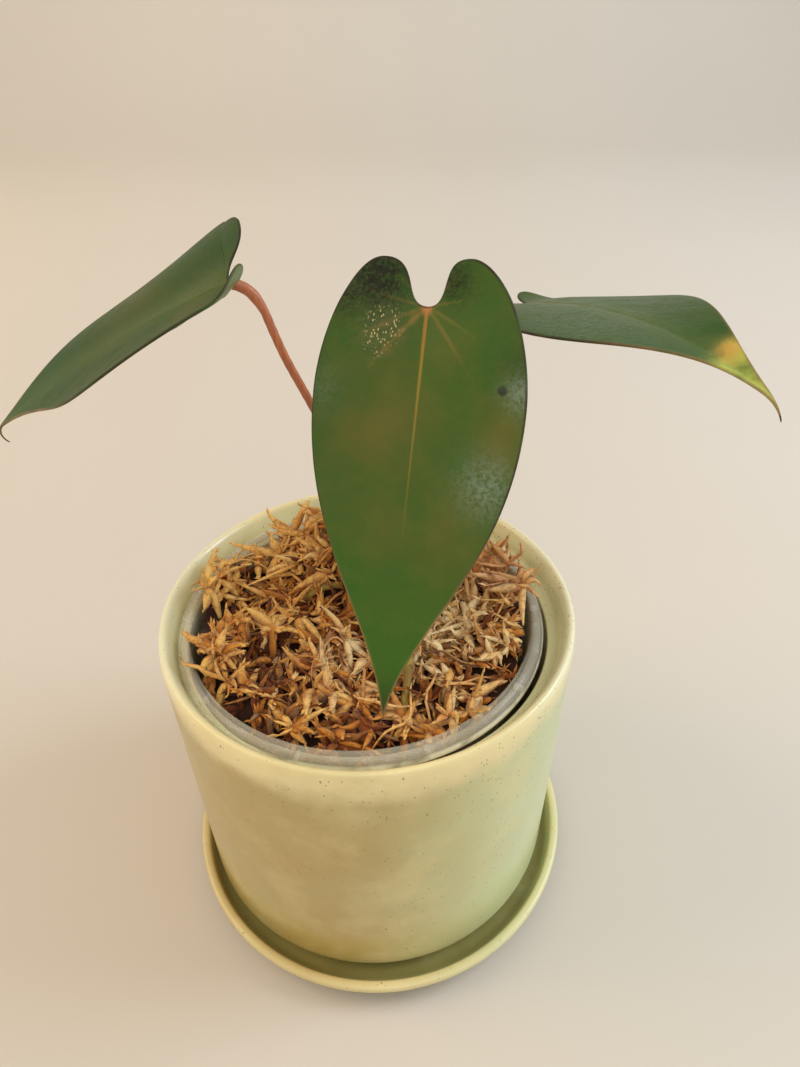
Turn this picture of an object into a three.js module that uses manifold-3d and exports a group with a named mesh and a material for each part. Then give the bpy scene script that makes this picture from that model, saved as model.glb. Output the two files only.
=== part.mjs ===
// A potted anthurium hybrid: three heart-shaped leaves on slender petioles, rooted in sphagnum
// moss in a clear inner pot, which stands in a glazed cover pot on its matching saucer.
// Millimetres, +Z up. The origin is on the saucer's flat underside, below the cover pot's axis.
// The front is towards -Y, and the left leaf reaches out to -X.

import * as THREE from 'three';
import { mergeVertices } from 'three/addons/utils/BufferGeometryUtils.js';
import Module from 'manifold-3d';

const wasm = await Module();
wasm.setup();

// Clearance between pieces that touch, and the fineness of turned shapes
const GAP = 0.3;
const TURN_SEGMENTS = 52;
const ARC_STEPS = 3;

// Saucer: a shallow dish, standing a little forward of the cover pot's axis
const SAUCER = {
  x: 1.2, y: -2.7, footRadius: 62, rimRadius: 80.5, height: 12.5,
  lip: 3.8, floor: 6.5, floorRadius: 74.5,
};

// Cover pot: a nearly straight cylinder with a rounded rim, a shelf under the clear pot's flange
// and a drain hole
const POT = {
  height: 125.4, rimRadius: 74.6, baseRadius: 73.5, rimBore: 69.7, bore: 65.5, baseBore: 65.2,
  floor: 7.5, heel: 8, crestRadius: 73.1, rimOuterRound: 5.5, rimInnerRound: 6.2, shelfDrop: 10,
  cornerRound: 9, footOuter: 65, footInner: 59, footRecess: 1.2, drainRadius: 7,
};

// Clear inner pot: tapered, with drain holes and a flange that turns out and down
const LINER = {
  x: -2.4, y: -1, rimTop: 128.8, flangeRadius: 66.1, flangeDrop: 4.8, mouthRadius: 62.4,
  baseRadius: 49, wall: 1.1, drainRadius: 3, drainCount: 6, drainRing: 30,
};

// Moss: a lumpy bed with a mound behind the front leaf. It falls towards the clear wall at the
// front and back, and stands up to the wall's rim at the sides.
const MOSS = {
  level: 121, radius: 58.6, moundX: -3, moundY: 30, moundHeight: 26, moundSpread: 17,
  sideRise: 15, edgeDrop: 4.5, edgeWidth: 12, lump: 1.5, rings: 7, segments: 32,
};
const STRANDS = {
  count: 66, length: 20, radius: 1.5, rise: 3.2, sunk: 2.2, clearOfStem: 5,
  sides: 3, steps: 3, seed: 41,
};

// Stem base and roots, which grew as one piece
const STEM = { x: 12, y: 10, bottom: 92, top: 143, bottomRadius: 5, topRadius: 6.4 };
const ROOT = { startRadius: 2.1, tipRadius: 1.2, sides: 6, steps: 6 };

// Petioles: slender, with a swollen joint below the blade and a broad foot on the stem
const PETIOLE = { radius: 1.3, footRadius: 2.3, jointRadius: 1.65, sides: 8, steps: 18 };

// Leaf blade: thickness, and the depth of the midrib that stands out below it
const BLADE = { thickness: 0.8, ribDepth: 0.7, rows: 25, columns: [0, 0.06, 0.2, 0.4, 0.6, 0.8, 1] };

// Half the flat outline of a blade, in lengths from sinus to tip: x across, y along the midrib.
// Lobe top, shoulder and tip are joined by cubic curves, whose handles are given as lengths.
const OUTLINE = {
  lobeX: 0.115, lobeY: -0.105, shoulderX: 0.275, shoulderY: 0.21,
  lobeHandle: 0.08, shoulderHandleUp: 0.153, shoulderHandleDown: 0.355,
  sinusTopHandle: 0.095, sinusHandle: 0.07,
};
const NOTCH_ROW = BLADE.rows * 0.2;
const SHOULDER_ROW = BLADE.rows * 0.4;

// The leaves. Angles are in degrees: heading in plan from +X, dip below the horizon, roll about
// the midrib, arch from sinus to tip and hook of the drip tip; sway is how far the tip swings to
// the right, in lengths. Left and right are as seen from above, looking from sinus to tip; each
// side folds up from the midrib, at its base, middle and tip, curls, and lifts its lobe, over a
// rise given in lengths. The joint is where the petiole ends: along the midrib, and below it.
const LEAVES = [
  {
    name: 'front', sinus: [20.5, -10, 244.3], length: 117.7, heading: -106, dip: 64, roll: -11.5,
    arch: -1, hook: 14, twist: 13, sway: 0, tip: [0.034, 0.247], joint: [2.4, 1.8],
    left: { width: 0.94, foldBase: 11, foldMid: 0, foldTip: 0, curl: -12.5, lift: 22, rise: 0.15 },
    right: { width: 0.93, foldBase: 10, foldMid: 0, foldTip: 6, curl: -4, lift: 22, rise: 0.15 },
    petiole: [[13.6, 5.8, 139], [14, 9, 160], [17.5, 15, 192], [22.5, 13, 223], [25, 3, 238.5]],
  },
  {
    name: 'left', sinus: [-35.1, 10.4, 244.8], length: 113, heading: 180.7, dip: 22.5, roll: 1.9,
    arch: 18.6, hook: 90, twist: 20.7, sway: 0.17, tip: [0.004, 0.394], joint: [-0.9, 0.9],
    left: { width: 1.058, foldBase: 0, foldMid: 0, foldTip: -2, curl: 19.6, lift: 65, rise: 0.105 },
    right: { width: 1.12, foldBase: 35, foldMid: -15, foldTip: 18, curl: -37, lift: 29, rise: 0.025 },
    petiole: [[8, 10.5, 139], [5, 10.3, 152], [-4.5, 10, 179], [-14.4, 10, 205], [-21.4, 10, 222],
      [-24.2, 10, 230.5], [-26.4, 10.8, 236.8], [-29.6, 11.4, 241.6], [-32.6, 11, 243.7]],
  },
  {
    name: 'right', sinus: [53.6, 40.8, 225.7], length: 102.5, heading: -55, dip: -20, roll: -3,
    arch: 33, hook: 49, twist: -4, sway: 0.113, tip: [0.012, 0.297], joint: [2.1, 2.4],
    left: { width: 1.12, foldBase: -5.6, foldMid: -18, foldTip: 46.6, curl: -10, lift: 73, rise: 0.15 },
    right: { width: 1, foldBase: 17.3, foldMid: -18, foldTip: 33, curl: -10, lift: 73, rise: 0.15 },
    petiole: [[16.2, 11.8, 139], [19, 16, 156], [28, 26, 182], [41, 36, 206], [50.5, 41.5, 217]],
  },
];

const MATERIALS = {
  glaze: { color: 0xb9c096, roughness: 0.28, metalness: 0 },
  clearPlastic: { color: 0xcfd3c8, roughness: 0.15, metalness: 0, transparent: true, opacity: 0.35 },
  moss: { color: 0xb07a34, roughness: 0.95, metalness: 0 },
  root: { color: 0x8a8440, roughness: 0.6, metalness: 0 },
  petiole: { color: 0x8e4d33, roughness: 0.45, metalness: 0 },
  leaf: { color: 0x3c5a24, roughness: 0.35, metalness: 0 },
};

const rad = THREE.MathUtils.degToRad;
const clamp = THREE.MathUtils.clamp;
const smooth = THREE.MathUtils.smoothstep;

// Closed solids

// Joins shared vertices, drops triangles with no area and turns the faces outwards
function closed(geometry) {
  const bare = new THREE.BufferGeometry();
  bare.setAttribute('position', geometry.getAttribute('position'));
  bare.setIndex(geometry.getIndex());
  const merged = mergeVertices(bare, 1e-4);
  const place = merged.getAttribute('position');
  const corner = (i) => new THREE.Vector3().fromBufferAttribute(place, i);
  const source = merged.getIndex().array;
  const faces = [];
  let volume = 0;
  for (let i = 0; i < source.length; i += 3) {
    const [a, b, c] = source.slice(i, i + 3);
    if (a === b || b === c || c === a) continue;
    faces.push([a, b, c]);
    volume += corner(a).dot(corner(b).cross(corner(c)));
  }
  merged.setIndex(faces.flatMap(([a, b, c]) => (volume > 0 ? [a, b, c] : [a, c, b])));
  merged.computeVertexNormals();
  return merged;
}

function toManifold(geometry) {
  const numProp = 3;
  const vertProperties = new Float32Array(geometry.getAttribute('position').array);
  const triVerts = new Uint32Array(geometry.getIndex().array);
  return new wasm.Manifold(new wasm.Mesh({ numProp, vertProperties, triVerts }));
}

function fromManifold(solid) {
  const mesh = solid.getMesh();
  const geometry = new THREE.BufferGeometry();
  geometry.setAttribute('position', new THREE.BufferAttribute(mesh.vertProperties, 3));
  geometry.setIndex(new THREE.BufferAttribute(mesh.triVerts, 1));
  geometry.computeVertexNormals();
  return geometry;
}

// The largest separate body of a solid, without its loose scraps and sealed hollows
function largestBody(solid) {
  return solid.decompose().reduce((best, body) => (body.volume() > best.volume() ? body : best));
}

function fuse(geometries) {
  return geometries.map(toManifold).reduce((whole, piece) => whole.add(piece));
}

// A profile of radius and height, turned about the Z axis
function turned(path, segments = TURN_SEGMENTS) {
  const geometry = new THREE.LatheGeometry(path.getPoints(ARC_STEPS), segments);
  return closed(geometry.rotateX(Math.PI / 2));
}

// A round tube along a curve with closed ends; radiusAt gives the radius at 0 to 1 of its length
function tube(points, radiusAt, sides, steps) {
  const curve = new THREE.CatmullRomCurve3(points, false, 'centripetal');
  const frames = curve.computeFrenetFrames(steps, false);
  const place = [];
  const faces = [];
  for (let i = 0; i <= steps; i += 1) {
    const centre = curve.getPointAt(i / steps);
    for (let j = 0; j < sides; j += 1) {
      const turn = (2 * Math.PI * j) / sides;
      const out = frames.normals[i].clone().multiplyScalar(Math.cos(turn));
      out.addScaledVector(frames.binormals[i], Math.sin(turn));
      place.push(...centre.clone().addScaledVector(out, radiusAt(i / steps)));
    }
  }
  for (let i = 0; i < steps; i += 1) {
    for (let j = 0; j < sides; j += 1) {
      const a = i * sides + j;
      const b = i * sides + ((j + 1) % sides);
      faces.push(a, b, a + sides, b, b + sides, a + sides);
    }
  }
  for (const end of [0, steps]) {
    const middle = place.length / 3;
    place.push(...curve.getPointAt(end / steps));
    for (let j = 0; j < sides; j += 1) {
      const a = end * sides + j;
      const b = end * sides + ((j + 1) % sides);
      faces.push(...(end === 0 ? [middle, b, a] : [middle, a, b]));
    }
  }
  const geometry = new THREE.BufferGeometry();
  geometry.setAttribute('position', new THREE.Float32BufferAttribute(place, 3));
  geometry.setIndex(faces);
  return closed(geometry);
}

// Seeded random numbers from 0 to 1, the same on every run
function seededRandom(seed) {
  let state = seed;
  return () => {
    state = (state * 16807) % 2147483647;
    return state / 2147483647;
  };
}

// Pots

function saucerShape() {
  const { footRadius, rimRadius, height, lip, floor, floorRadius } = SAUCER;
  const path = new THREE.Path();
  path.moveTo(0, 0);
  path.lineTo(footRadius, 0);
  path.quadraticCurveTo(rimRadius - 3, 1, rimRadius - 0.4, height - lip / 2 - 1);
  path.quadraticCurveTo(rimRadius + 0.2, height, rimRadius - lip / 2, height);
  path.quadraticCurveTo(rimRadius - lip, height, rimRadius - lip - 0.4, height - lip / 2);
  path.quadraticCurveTo(floorRadius + 1, floor, floorRadius - 4, floor);
  path.lineTo(0, floor);
  return turned(path).translate(SAUCER.x, SAUCER.y, 0);
}

function coverPotShape() {
  const p = POT;
  const path = new THREE.Path();
  path.moveTo(p.drainRadius, p.footRecess);
  path.lineTo(p.footInner, p.footRecess);
  path.lineTo(p.footInner + p.footRecess, 0);
  path.lineTo(p.footOuter, 0);
  path.quadraticCurveTo(p.baseRadius, 0, p.baseRadius, p.heel);
  path.lineTo(p.rimRadius, p.height - p.rimOuterRound);
  path.quadraticCurveTo(p.rimRadius, p.height, p.crestRadius, p.height);
  path.quadraticCurveTo(p.rimBore + 1.2, p.height, p.rimBore, p.height - p.rimInnerRound);
  const shelf = p.height - p.shelfDrop;
  path.quadraticCurveTo(p.rimBore - 0.1, shelf + 0.2, p.bore + 0.7, shelf);
  path.quadraticCurveTo(p.bore, shelf, p.bore, shelf - 1);
  path.lineTo(p.baseBore, p.floor + p.cornerRound);
  path.quadraticCurveTo(p.baseBore, p.floor, p.baseBore - p.cornerRound, p.floor);
  path.lineTo(p.drainRadius, p.floor);
  path.lineTo(p.drainRadius, p.footRecess);
  return turned(path).translate(0, 0, SAUCER.floor + GAP);
}

const LINER_FLOOR = SAUCER.floor + GAP + POT.floor + GAP;
const LINER_HEIGHT = LINER.rimTop - LINER_FLOOR;

function linerShape() {
  const p = LINER;
  const top = LINER_HEIGHT;
  const path = new THREE.Path();
  path.moveTo(0, 0);
  path.lineTo(p.baseRadius - 2, 0);
  path.quadraticCurveTo(p.baseRadius, 0, p.baseRadius, 2);
  path.lineTo(p.mouthRadius, top - 2 * p.wall);
  path.quadraticCurveTo(p.flangeRadius - p.wall, top - p.wall, p.flangeRadius - p.wall, top - p.flangeDrop);
  path.lineTo(p.flangeRadius, top - p.flangeDrop);
  path.quadraticCurveTo(p.flangeRadius, top, p.mouthRadius, top);
  path.quadraticCurveTo(p.mouthRadius - p.wall, top, p.mouthRadius - p.wall, top - p.wall);
  path.lineTo(p.baseRadius - p.wall, 2 + p.wall);
  path.lineTo(p.baseRadius - p.wall - 1.5, p.wall);
  path.lineTo(0, p.wall);
  let solid = toManifold(turned(path));
  for (let i = 0; i < p.drainCount; i += 1) {
    const turn = (2 * Math.PI * i) / p.drainCount;
    const drill = new THREE.CylinderGeometry(p.drainRadius, p.drainRadius, 4 * p.wall, 10);
    drill.rotateX(Math.PI / 2).translate(p.drainRing * Math.cos(turn), p.drainRing * Math.sin(turn), 0);
    solid = solid.subtract(toManifold(closed(drill)));
  }
  return fromManifold(solid).translate(p.x, p.y, LINER_FLOOR);
}

// Stem and roots

const stemRoots = [
  [[12, 10, 112], [30, 20, 100], [40, 26, 66], [36, 24, 34]],
  [[12, 10, 108], [8, -10, 96], [4, -28, 64], [2, -30, 30]],
  [[12, 10, 104], [-10, 16, 90], [-32, 18, 60], [-34, 12, 28]],
  [[12, 10, 100], [8, 26, 82], [2, 36, 54], [-4, 34, 26]],
  [[12, 10, 98], [20, -4, 72], [30, -16, 46], [28, -18, 24]],
  [[12, 10, 120], [3, 10.5, 128], [-5, 10.5, 130.5], [-14, 10, 131], [-19.5, 8.2, 130.3], [-25, 7, 126]],
  [[12, 10, 118], [14, -8, 122], [14.6, -20, 125], [14.2, -30, 126.5], [13.2, -38, 125.5], [12, -44, 120]],
];

function stemShape(clearance) {
  const { x, y, bottom, top, bottomRadius, topRadius } = STEM;
  const height = top - bottom;
  const path = new THREE.Path();
  path.moveTo(0, -clearance);
  path.lineTo(bottomRadius - 1 + clearance, -clearance);
  path.lineTo(bottomRadius + clearance, 2);
  path.lineTo(topRadius + clearance, height - 3);
  path.lineTo(topRadius - 2 + clearance, height + clearance);
  path.lineTo(0, height + 1 + clearance);
  const stem = turned(path, 12).translate(x, y, bottom);
  const radiusAt = (u) => THREE.MathUtils.lerp(ROOT.startRadius, ROOT.tipRadius, u) + clearance;
  const roots = stemRoots.map((route) => {
    const points = route.map((point) => new THREE.Vector3(...point));
    return tube(points, radiusAt, ROOT.sides, ROOT.steps);
  });
  return fuse([stem, ...roots]);
}

// Moss

// Height of the moss surface: a level bed, a broad mound, small lumps, a rise at the sides and a
// fall at the wall
function mossHeight(x, y) {
  const m = MOSS;
  const reach = LINER.mouthRadius - LINER.wall;
  const fromWall = reach - Math.hypot(x - LINER.x, y - LINER.y);
  const far = ((x - m.moundX) ** 2 + (y - m.moundY) ** 2) / (2 * m.moundSpread ** 2);
  const lumps = m.lump * (Math.sin(x / 4.1 + 1) * Math.cos(y / 3.7) + Math.sin(x / 7.3 - y / 5.9));
  const sides = m.sideRise * ((x - LINER.x) / reach) ** 4;
  const edge = m.edgeDrop * (1 - smooth(fromWall, 0, m.edgeWidth));
  return m.level + m.moundHeight * Math.exp(-far) + lumps + sides - edge;
}

// The bed as rings of points: under the base, up the clear wall, then in over the mound
function mossBed() {
  const bottom = LINER_FLOOR + LINER.wall + GAP;
  const bottomRadius = LINER.baseRadius - LINER.wall - GAP - 1.5;
  const surface = (radius, c, s) => mossHeight(LINER.x + radius * c, LINER.y + radius * s);
  const rows = [() => [0, bottom], () => [bottomRadius, bottom]];
  rows.push((c, s) => [MOSS.radius, surface(MOSS.radius, c, s) - 1]);
  rows.push((c, s) => [MOSS.radius - 0.2, surface(MOSS.radius, c, s)]);
  for (let i = 1; i < MOSS.rings; i += 1) {
    const radius = MOSS.radius * (1 - i / MOSS.rings);
    rows.push((c, s) => [radius, surface(radius, c, s)]);
  }
  rows.push(() => [0, mossHeight(LINER.x, LINER.y)]);
  const place = [];
  const faces = [];
  const count = MOSS.segments;
  rows.forEach((row, i) => {
    for (let j = 0; j < count; j += 1) {
      const turn = (2 * Math.PI * j) / count;
      const [radius, z] = row(Math.cos(turn), Math.sin(turn));
      place.push(LINER.x + radius * Math.cos(turn), LINER.y + radius * Math.sin(turn), z);
      const a = i * count + j;
      const b = i * count + ((j + 1) % count);
      if (i < rows.length - 1) faces.push(a, b, a + count, b, b + count, a + count);
    }
  });
  const geometry = new THREE.BufferGeometry();
  geometry.setAttribute('position', new THREE.Float32BufferAttribute(place, 3));
  geometry.setIndex(faces);
  return closed(geometry);
}

// Larger-than-life strands that arch out of the bed and dip back into it
function mossStrands() {
  const random = seededRandom(STRANDS.seed);
  const reach = MOSS.radius - STRANDS.radius;
  const strands = [];
  for (let i = 0; i < STRANDS.count; i += 1) {
    const radius = reach * Math.sqrt((i + 0.5) / STRANDS.count);
    const turn = i * 2.39996;
    const heading = 2 * Math.PI * random();
    const length = STRANDS.length * (0.7 + 0.6 * random());
    const rise = STRANDS.rise * (0.5 + random());
    const points = [-0.5, -0.2, 0.2, 0.5].map((u) => {
      let x = radius * Math.cos(turn) + u * length * Math.cos(heading);
      let y = radius * Math.sin(turn) + u * length * Math.sin(heading);
      const inside = Math.min(1, reach / Math.hypot(x, y));
      x = LINER.x + x * inside;
      y = LINER.y + y * inside;
      const lift = Math.abs(u) < 0.4 ? rise : -STRANDS.sunk;
      return new THREE.Vector3(x, y, mossHeight(x, y) + lift);
    });
    const fromStem = points.map((p) => Math.hypot(p.x - STEM.x, p.y - STEM.y));
    if (Math.min(...fromStem) < STEM.topRadius + STRANDS.clearOfStem) continue;
    const radiusAt = (u) => STRANDS.radius * (1.1 - 0.5 * u);
    strands.push(tube(points, radiusAt, STRANDS.sides, STRANDS.steps));
  }
  return strands;
}

function mossShape() {
  const bed = fuse([mossBed(), ...mossStrands()]);
  return fromManifold(largestBody(bed.subtract(stemShape(GAP))));
}

// Leaves

function bezier(a, b, c, d, u) {
  const curve = new THREE.CubicBezierCurve(...[a, b, c, d].map((p) => new THREE.Vector2(...p)));
  return curve.getPoint(u);
}

// A point of the flat half blade: row 0 is the lobe top, the last row is the tip, and across runs
// from 0 on the sinus edge or midrib to 1 on the margin
function flatPoint(leaf, row, across) {
  const o = OUTLINE;
  const [tipX, tipY] = leaf.tip;
  const lobe = [o.lobeX, o.lobeY];
  const shoulder = [o.shoulderX, o.shoulderY];
  const margin = row <= SHOULDER_ROW
    ? bezier(lobe, [o.lobeX + o.lobeHandle, o.lobeY],
      [o.shoulderX, o.shoulderY - o.shoulderHandleUp], shoulder, row / SHOULDER_ROW)
    : bezier(shoulder, [o.shoulderX, o.shoulderY + o.shoulderHandleDown], [tipX, 1 - tipY],
      [0, 1], (row - SHOULDER_ROW) / (BLADE.rows - SHOULDER_ROW));
  const inner = row <= NOTCH_ROW
    ? bezier(lobe, [o.lobeX - o.sinusTopHandle, o.lobeY], [o.sinusHandle, 0], [0, 0], row / NOTCH_ROW)
    : new THREE.Vector2(0, (row - NOTCH_ROW) / (BLADE.rows - NOTCH_ROW));
  return inner.lerp(margin, across);
}

// The midrib as a bent line: position along, height and slope, by distance from the sinus. Short
// of the sinus it carries the lobe of one half.
function midribLine(leaf, half) {
  const step = 0.005;
  const start = -0.25;
  const samples = [];
  let along = 0;
  let height = 0;
  for (let i = 0; start + i * step <= 1 + step / 2; i += 1) {
    const u = start + i * step;
    const hook = rad(leaf.hook) * clamp((u - 0.9) / 0.1, 0, 1) ** 1.5;
    const lift = rad(half.lift) * clamp(-u / half.rise, 0, 1);
    const slope = rad(leaf.arch) * u + hook + lift;
    along += Math.cos(slope) * step * leaf.length;
    height -= Math.sin(slope) * step * leaf.length;
    samples.push([along, height, slope]);
  }
  const read = (u) => {
    const at = clamp((u - start) / step, 0, samples.length - 1.001);
    const [low, part] = [Math.floor(at), at - Math.floor(at)];
    return samples[low].map((value, k) => THREE.MathUtils.lerp(value, samples[low + 1][k], part));
  };
  const [along0, height0] = read(0);
  return (u) => {
    const [a, h, slope] = read(u);
    return [a - along0, h - height0, slope];
  };
}

// The leaf's own axes: along the midrib, across to the right, and up out of the upper face
function leafAxes(leaf) {
  const [heading, dip, roll] = [rad(leaf.heading), rad(leaf.dip), rad(leaf.roll)];
  const along = new THREE.Vector3(Math.cos(dip) * Math.cos(heading),
    Math.cos(dip) * Math.sin(heading), -Math.sin(dip));
  const level = new THREE.Vector3(Math.sin(heading), -Math.cos(heading), 0);
  const upright = new THREE.Vector3().crossVectors(level, along);
  const across = level.clone().multiplyScalar(Math.cos(roll)).addScaledVector(upright, Math.sin(roll));
  const up = upright.clone().multiplyScalar(Math.cos(roll)).addScaledVector(level, -Math.sin(roll));
  return { along, across, up };
}

// Bends a flat point into place: the half blade swings up by its fold and curl, the section turns
// with the twist, and the whole follows the bent midrib
function bladePoint(leaf, lines, axes, side, flat) {
  const half = side > 0 ? leaf.right : leaf.left;
  const line = side > 0 ? lines.right : lines.left;
  const reach = flat.x * half.width * leaf.length;
  const inBlade = clamp(flat.y, 0, 1);
  const fold = THREE.MathUtils.lerp(half.foldBase, half.foldTip, flat.y)
    + half.foldMid * 4 * inBlade * (1 - inBlade);
  const swing = rad(fold + (half.curl * reach) / (0.6 * leaf.length));
  const twist = rad(leaf.twist) * flat.y;
  const flatX = side * reach * Math.cos(swing);
  const flatZ = reach * Math.sin(swing);
  const sway = leaf.sway * leaf.length * inBlade ** 2;
  const x = flatX * Math.cos(twist) - flatZ * Math.sin(twist) + sway;
  const z = flatX * Math.sin(twist) + flatZ * Math.cos(twist);
  const [along, height, slope] = line(flat.y);
  return new THREE.Vector3(...leaf.sinus)
    .addScaledVector(axes.along, along + z * Math.sin(slope))
    .addScaledVector(axes.across, x)
    .addScaledVector(axes.up, height + z * Math.cos(slope));
}

// The blade as two half grids that share the midrib, thickened both ways along its normals
function bladeShape(leaf) {
  const { rows, columns, thickness, ribDepth } = BLADE;
  const lines = { left: midribLine(leaf, leaf.left), right: midribLine(leaf, leaf.right) };
  const axes = leafAxes(leaf);
  const vertices = [];
  const keys = new Map();
  const vertex = (side, row, column) => {
    const shared = row === rows || (column === 0 && row >= NOTCH_ROW);
    const key = shared ? `m${row}` : `${side},${row},${row === 0 ? 0 : column}`;
    if (!keys.has(key)) {
      const across = columns[row === 0 || row === rows ? 0 : column];
      const place = bladePoint(leaf, lines, axes, side, flatPoint(leaf, row, across));
      const ribTaper = smooth(row, 0, NOTCH_ROW) * (1 - row / rows);
      const rib = ribDepth * clamp(1 - across / 0.12, 0, 1) * ribTaper;
      keys.set(key, vertices.length);
      vertices.push({ place, rib, normal: new THREE.Vector3() });
    }
    return keys.get(key);
  };
  const upper = [];
  for (const side of [-1, 1]) {
    for (let row = 0; row < rows; row += 1) {
      for (let column = 0; column < columns.length - 1; column += 1) {
        const a = vertex(side, row, column);
        const b = vertex(side, row, column + 1);
        const c = vertex(side, row + 1, column + 1);
        const d = vertex(side, row + 1, column);
        for (const corners of [[a, b, c], [a, c, d]]) {
          if (new Set(corners).size === 3) upper.push(side > 0 ? corners : corners.reverse());
        }
      }
    }
  }
  for (const [a, b, c] of upper) {
    const [p, q, r] = [a, b, c].map((i) => vertices[i].place);
    const normal = q.clone().sub(p).cross(r.clone().sub(p));
    [a, b, c].forEach((i) => vertices[i].normal.add(normal));
  }
  const count = vertices.length;
  const place = new Array(6 * count);
  const facing = Math.sign(vertices[keys.get(`m${NOTCH_ROW}`)].normal.dot(axes.up));
  vertices.forEach(({ place: middle, rib, normal }, i) => {
    const out = normal.normalize().multiplyScalar(facing);
    const above = middle.clone().addScaledVector(out, thickness / 2);
    const below = middle.clone().addScaledVector(out, -thickness / 2 - rib);
    place.splice(3 * i, 3, ...above);
    place.splice(3 * (count + i), 3, ...below);
  });
  const faces = upper.flatMap(([a, b, c]) => [a, b, c, count + a, count + c, count + b]);
  const edges = new Map();
  for (const [a, b, c] of upper) {
    for (const [from, to] of [[a, b], [b, c], [c, a]]) {
      if (edges.has(`${to},${from}`)) edges.delete(`${to},${from}`);
      else edges.set(`${from},${to}`, [from, to]);
    }
  }
  for (const [from, to] of edges.values()) {
    faces.push(to, from, count + from, to, count + from, count + to);
  }
  const geometry = new THREE.BufferGeometry();
  geometry.setAttribute('position', new THREE.Float32BufferAttribute(place, 3));
  geometry.setIndex(faces);
  return closed(geometry);
}

// A petiole from the stem's shoulder to the joint, where the midrib starts
function petioleShape(leaf, stem) {
  const axes = leafAxes(leaf);
  const [along, below] = leaf.joint;
  const seat = new THREE.Vector3(...leaf.sinus)
    .addScaledVector(axes.along, along)
    .addScaledVector(axes.up, -below);
  const foot = new THREE.Vector3(...leaf.petiole[0]);
  const route = leaf.petiole.map((point) => new THREE.Vector3(...point));
  route.push(seat);
  const reach = foot.distanceTo(seat);
  const radiusAt = (u) => {
    const foot = (PETIOLE.footRadius - PETIOLE.radius) * (1 - smooth(u * reach, 4, 20));
    const joint = (PETIOLE.jointRadius - PETIOLE.radius) * smooth(u * reach, reach - 12, reach - 7);
    return PETIOLE.radius + foot + joint;
  };
  const petiole = tube(route, radiusAt, PETIOLE.sides, PETIOLE.steps);
  return fromManifold(largestBody(toManifold(petiole).subtract(stem)));
}

// The whole plant in its pots

const plant = new THREE.Group();

function addPiece(name, geometry, look) {
  const mesh = new THREE.Mesh(geometry, new THREE.MeshStandardMaterial(MATERIALS[look]));
  mesh.name = name;
  plant.add(mesh);
}

addPiece('saucer', saucerShape(), 'glaze');
addPiece('cover_pot', coverPotShape(), 'glaze');
addPiece('inner_pot', linerShape(), 'clearPlastic');
addPiece('moss', mossShape(), 'moss');
addPiece('stem_and_roots', fromManifold(stemShape(0)), 'root');
const stemClearance = stemShape(GAP);
for (const leaf of LEAVES) {
  addPiece(`petiole_${leaf.name}`, petioleShape(leaf, stemClearance), 'petiole');
  addPiece(`leaf_${leaf.name}`, bladeShape(leaf), 'leaf');
}

export default plant;
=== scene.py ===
"""Potted anthurium hybrid: three heart-shaped leaves over sphagnum in a clear inner pot, in a
celadon cover pot on its saucer. Laid out as an add-on and run as a script. All shapes are worked
out in millimetres, +Z up, with the origin on the saucer's underside, and put into the meshes in
metres."""

import math

import bpy
import numpy as np
from mathutils import Matrix


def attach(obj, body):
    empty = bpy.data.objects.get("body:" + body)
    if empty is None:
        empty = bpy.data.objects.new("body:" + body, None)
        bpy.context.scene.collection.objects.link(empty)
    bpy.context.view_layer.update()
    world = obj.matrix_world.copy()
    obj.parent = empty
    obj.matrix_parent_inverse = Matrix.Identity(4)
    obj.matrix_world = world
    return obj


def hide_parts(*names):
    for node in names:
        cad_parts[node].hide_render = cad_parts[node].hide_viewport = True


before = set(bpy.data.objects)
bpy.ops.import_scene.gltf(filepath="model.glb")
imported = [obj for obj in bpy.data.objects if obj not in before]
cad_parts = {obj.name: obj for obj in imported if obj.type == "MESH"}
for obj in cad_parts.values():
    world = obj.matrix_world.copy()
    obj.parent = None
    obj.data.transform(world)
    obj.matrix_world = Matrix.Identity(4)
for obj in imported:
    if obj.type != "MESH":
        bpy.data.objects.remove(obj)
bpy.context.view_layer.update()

bl_info = {
    "name": "Potted anthurium hybrid",
    "version": (1, 0, 0),
    "blender": (4, 5, 0),
    "location": "View3D > Sidebar > Anthurium",
    "description": "Builds a potted anthurium hybrid around its packed CAD model",
    "category": "Add Mesh",
}

MM = 0.001

# The pots, as in the CAD model
SAUCER_AT = (1.2, -2.7)
LINER_AT = (-2.4, -1.0)
POT_BASE = 6.8
POT_TOP = 132.2
LINER_FLOOR = 14.6
LINER_RIM_TOP = 128.8
LINER_BORE = 61.3
BED_RADIUS = 58.6
STEM_AT = (12.0, 10.0)
STEM_FOOT = 92
# Longest step along a turned profile
PROFILE_STEP = 6

# Under the clear pot's flange and in its base
RIBS = dict(count=10, first=182, inner=62.2, outer=65.2, below=3.0, radius=0.7)
DRAINS = dict(count=6, ring=30, radius=3)

# How far the dark bed lies under the moss surface, how near the stem the moss comes, how far
# from the axis it reaches below the rim, and how much further it leans out above it
BED_DEPTH = 3.4
STEM_GAP = 7.2
MOSS_REACH = 59.0
LEAN_OUT = 6.0
# Directions that no centre line and no tuft's axis takes, so that there is a way across both
OFF_LINE, OFF_AXIS = (0.02, 0.03, 1.0), (0.31, 0.95, 0.02)
# Radius and height of the corner at the foot of the bed
BED_FOOT = (46.1, 16)
# A full turn, and the turn from one place of an even scatter to the next
FULL_TURN, NEXT_TURN = 6.28, 2.39996
# Branchlets in a tuft, leaflets on a branchlet, and long bare stems
PER_TUFT, PER_BRANCHLET, LONG_STEMS = 7, 2, 90
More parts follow.
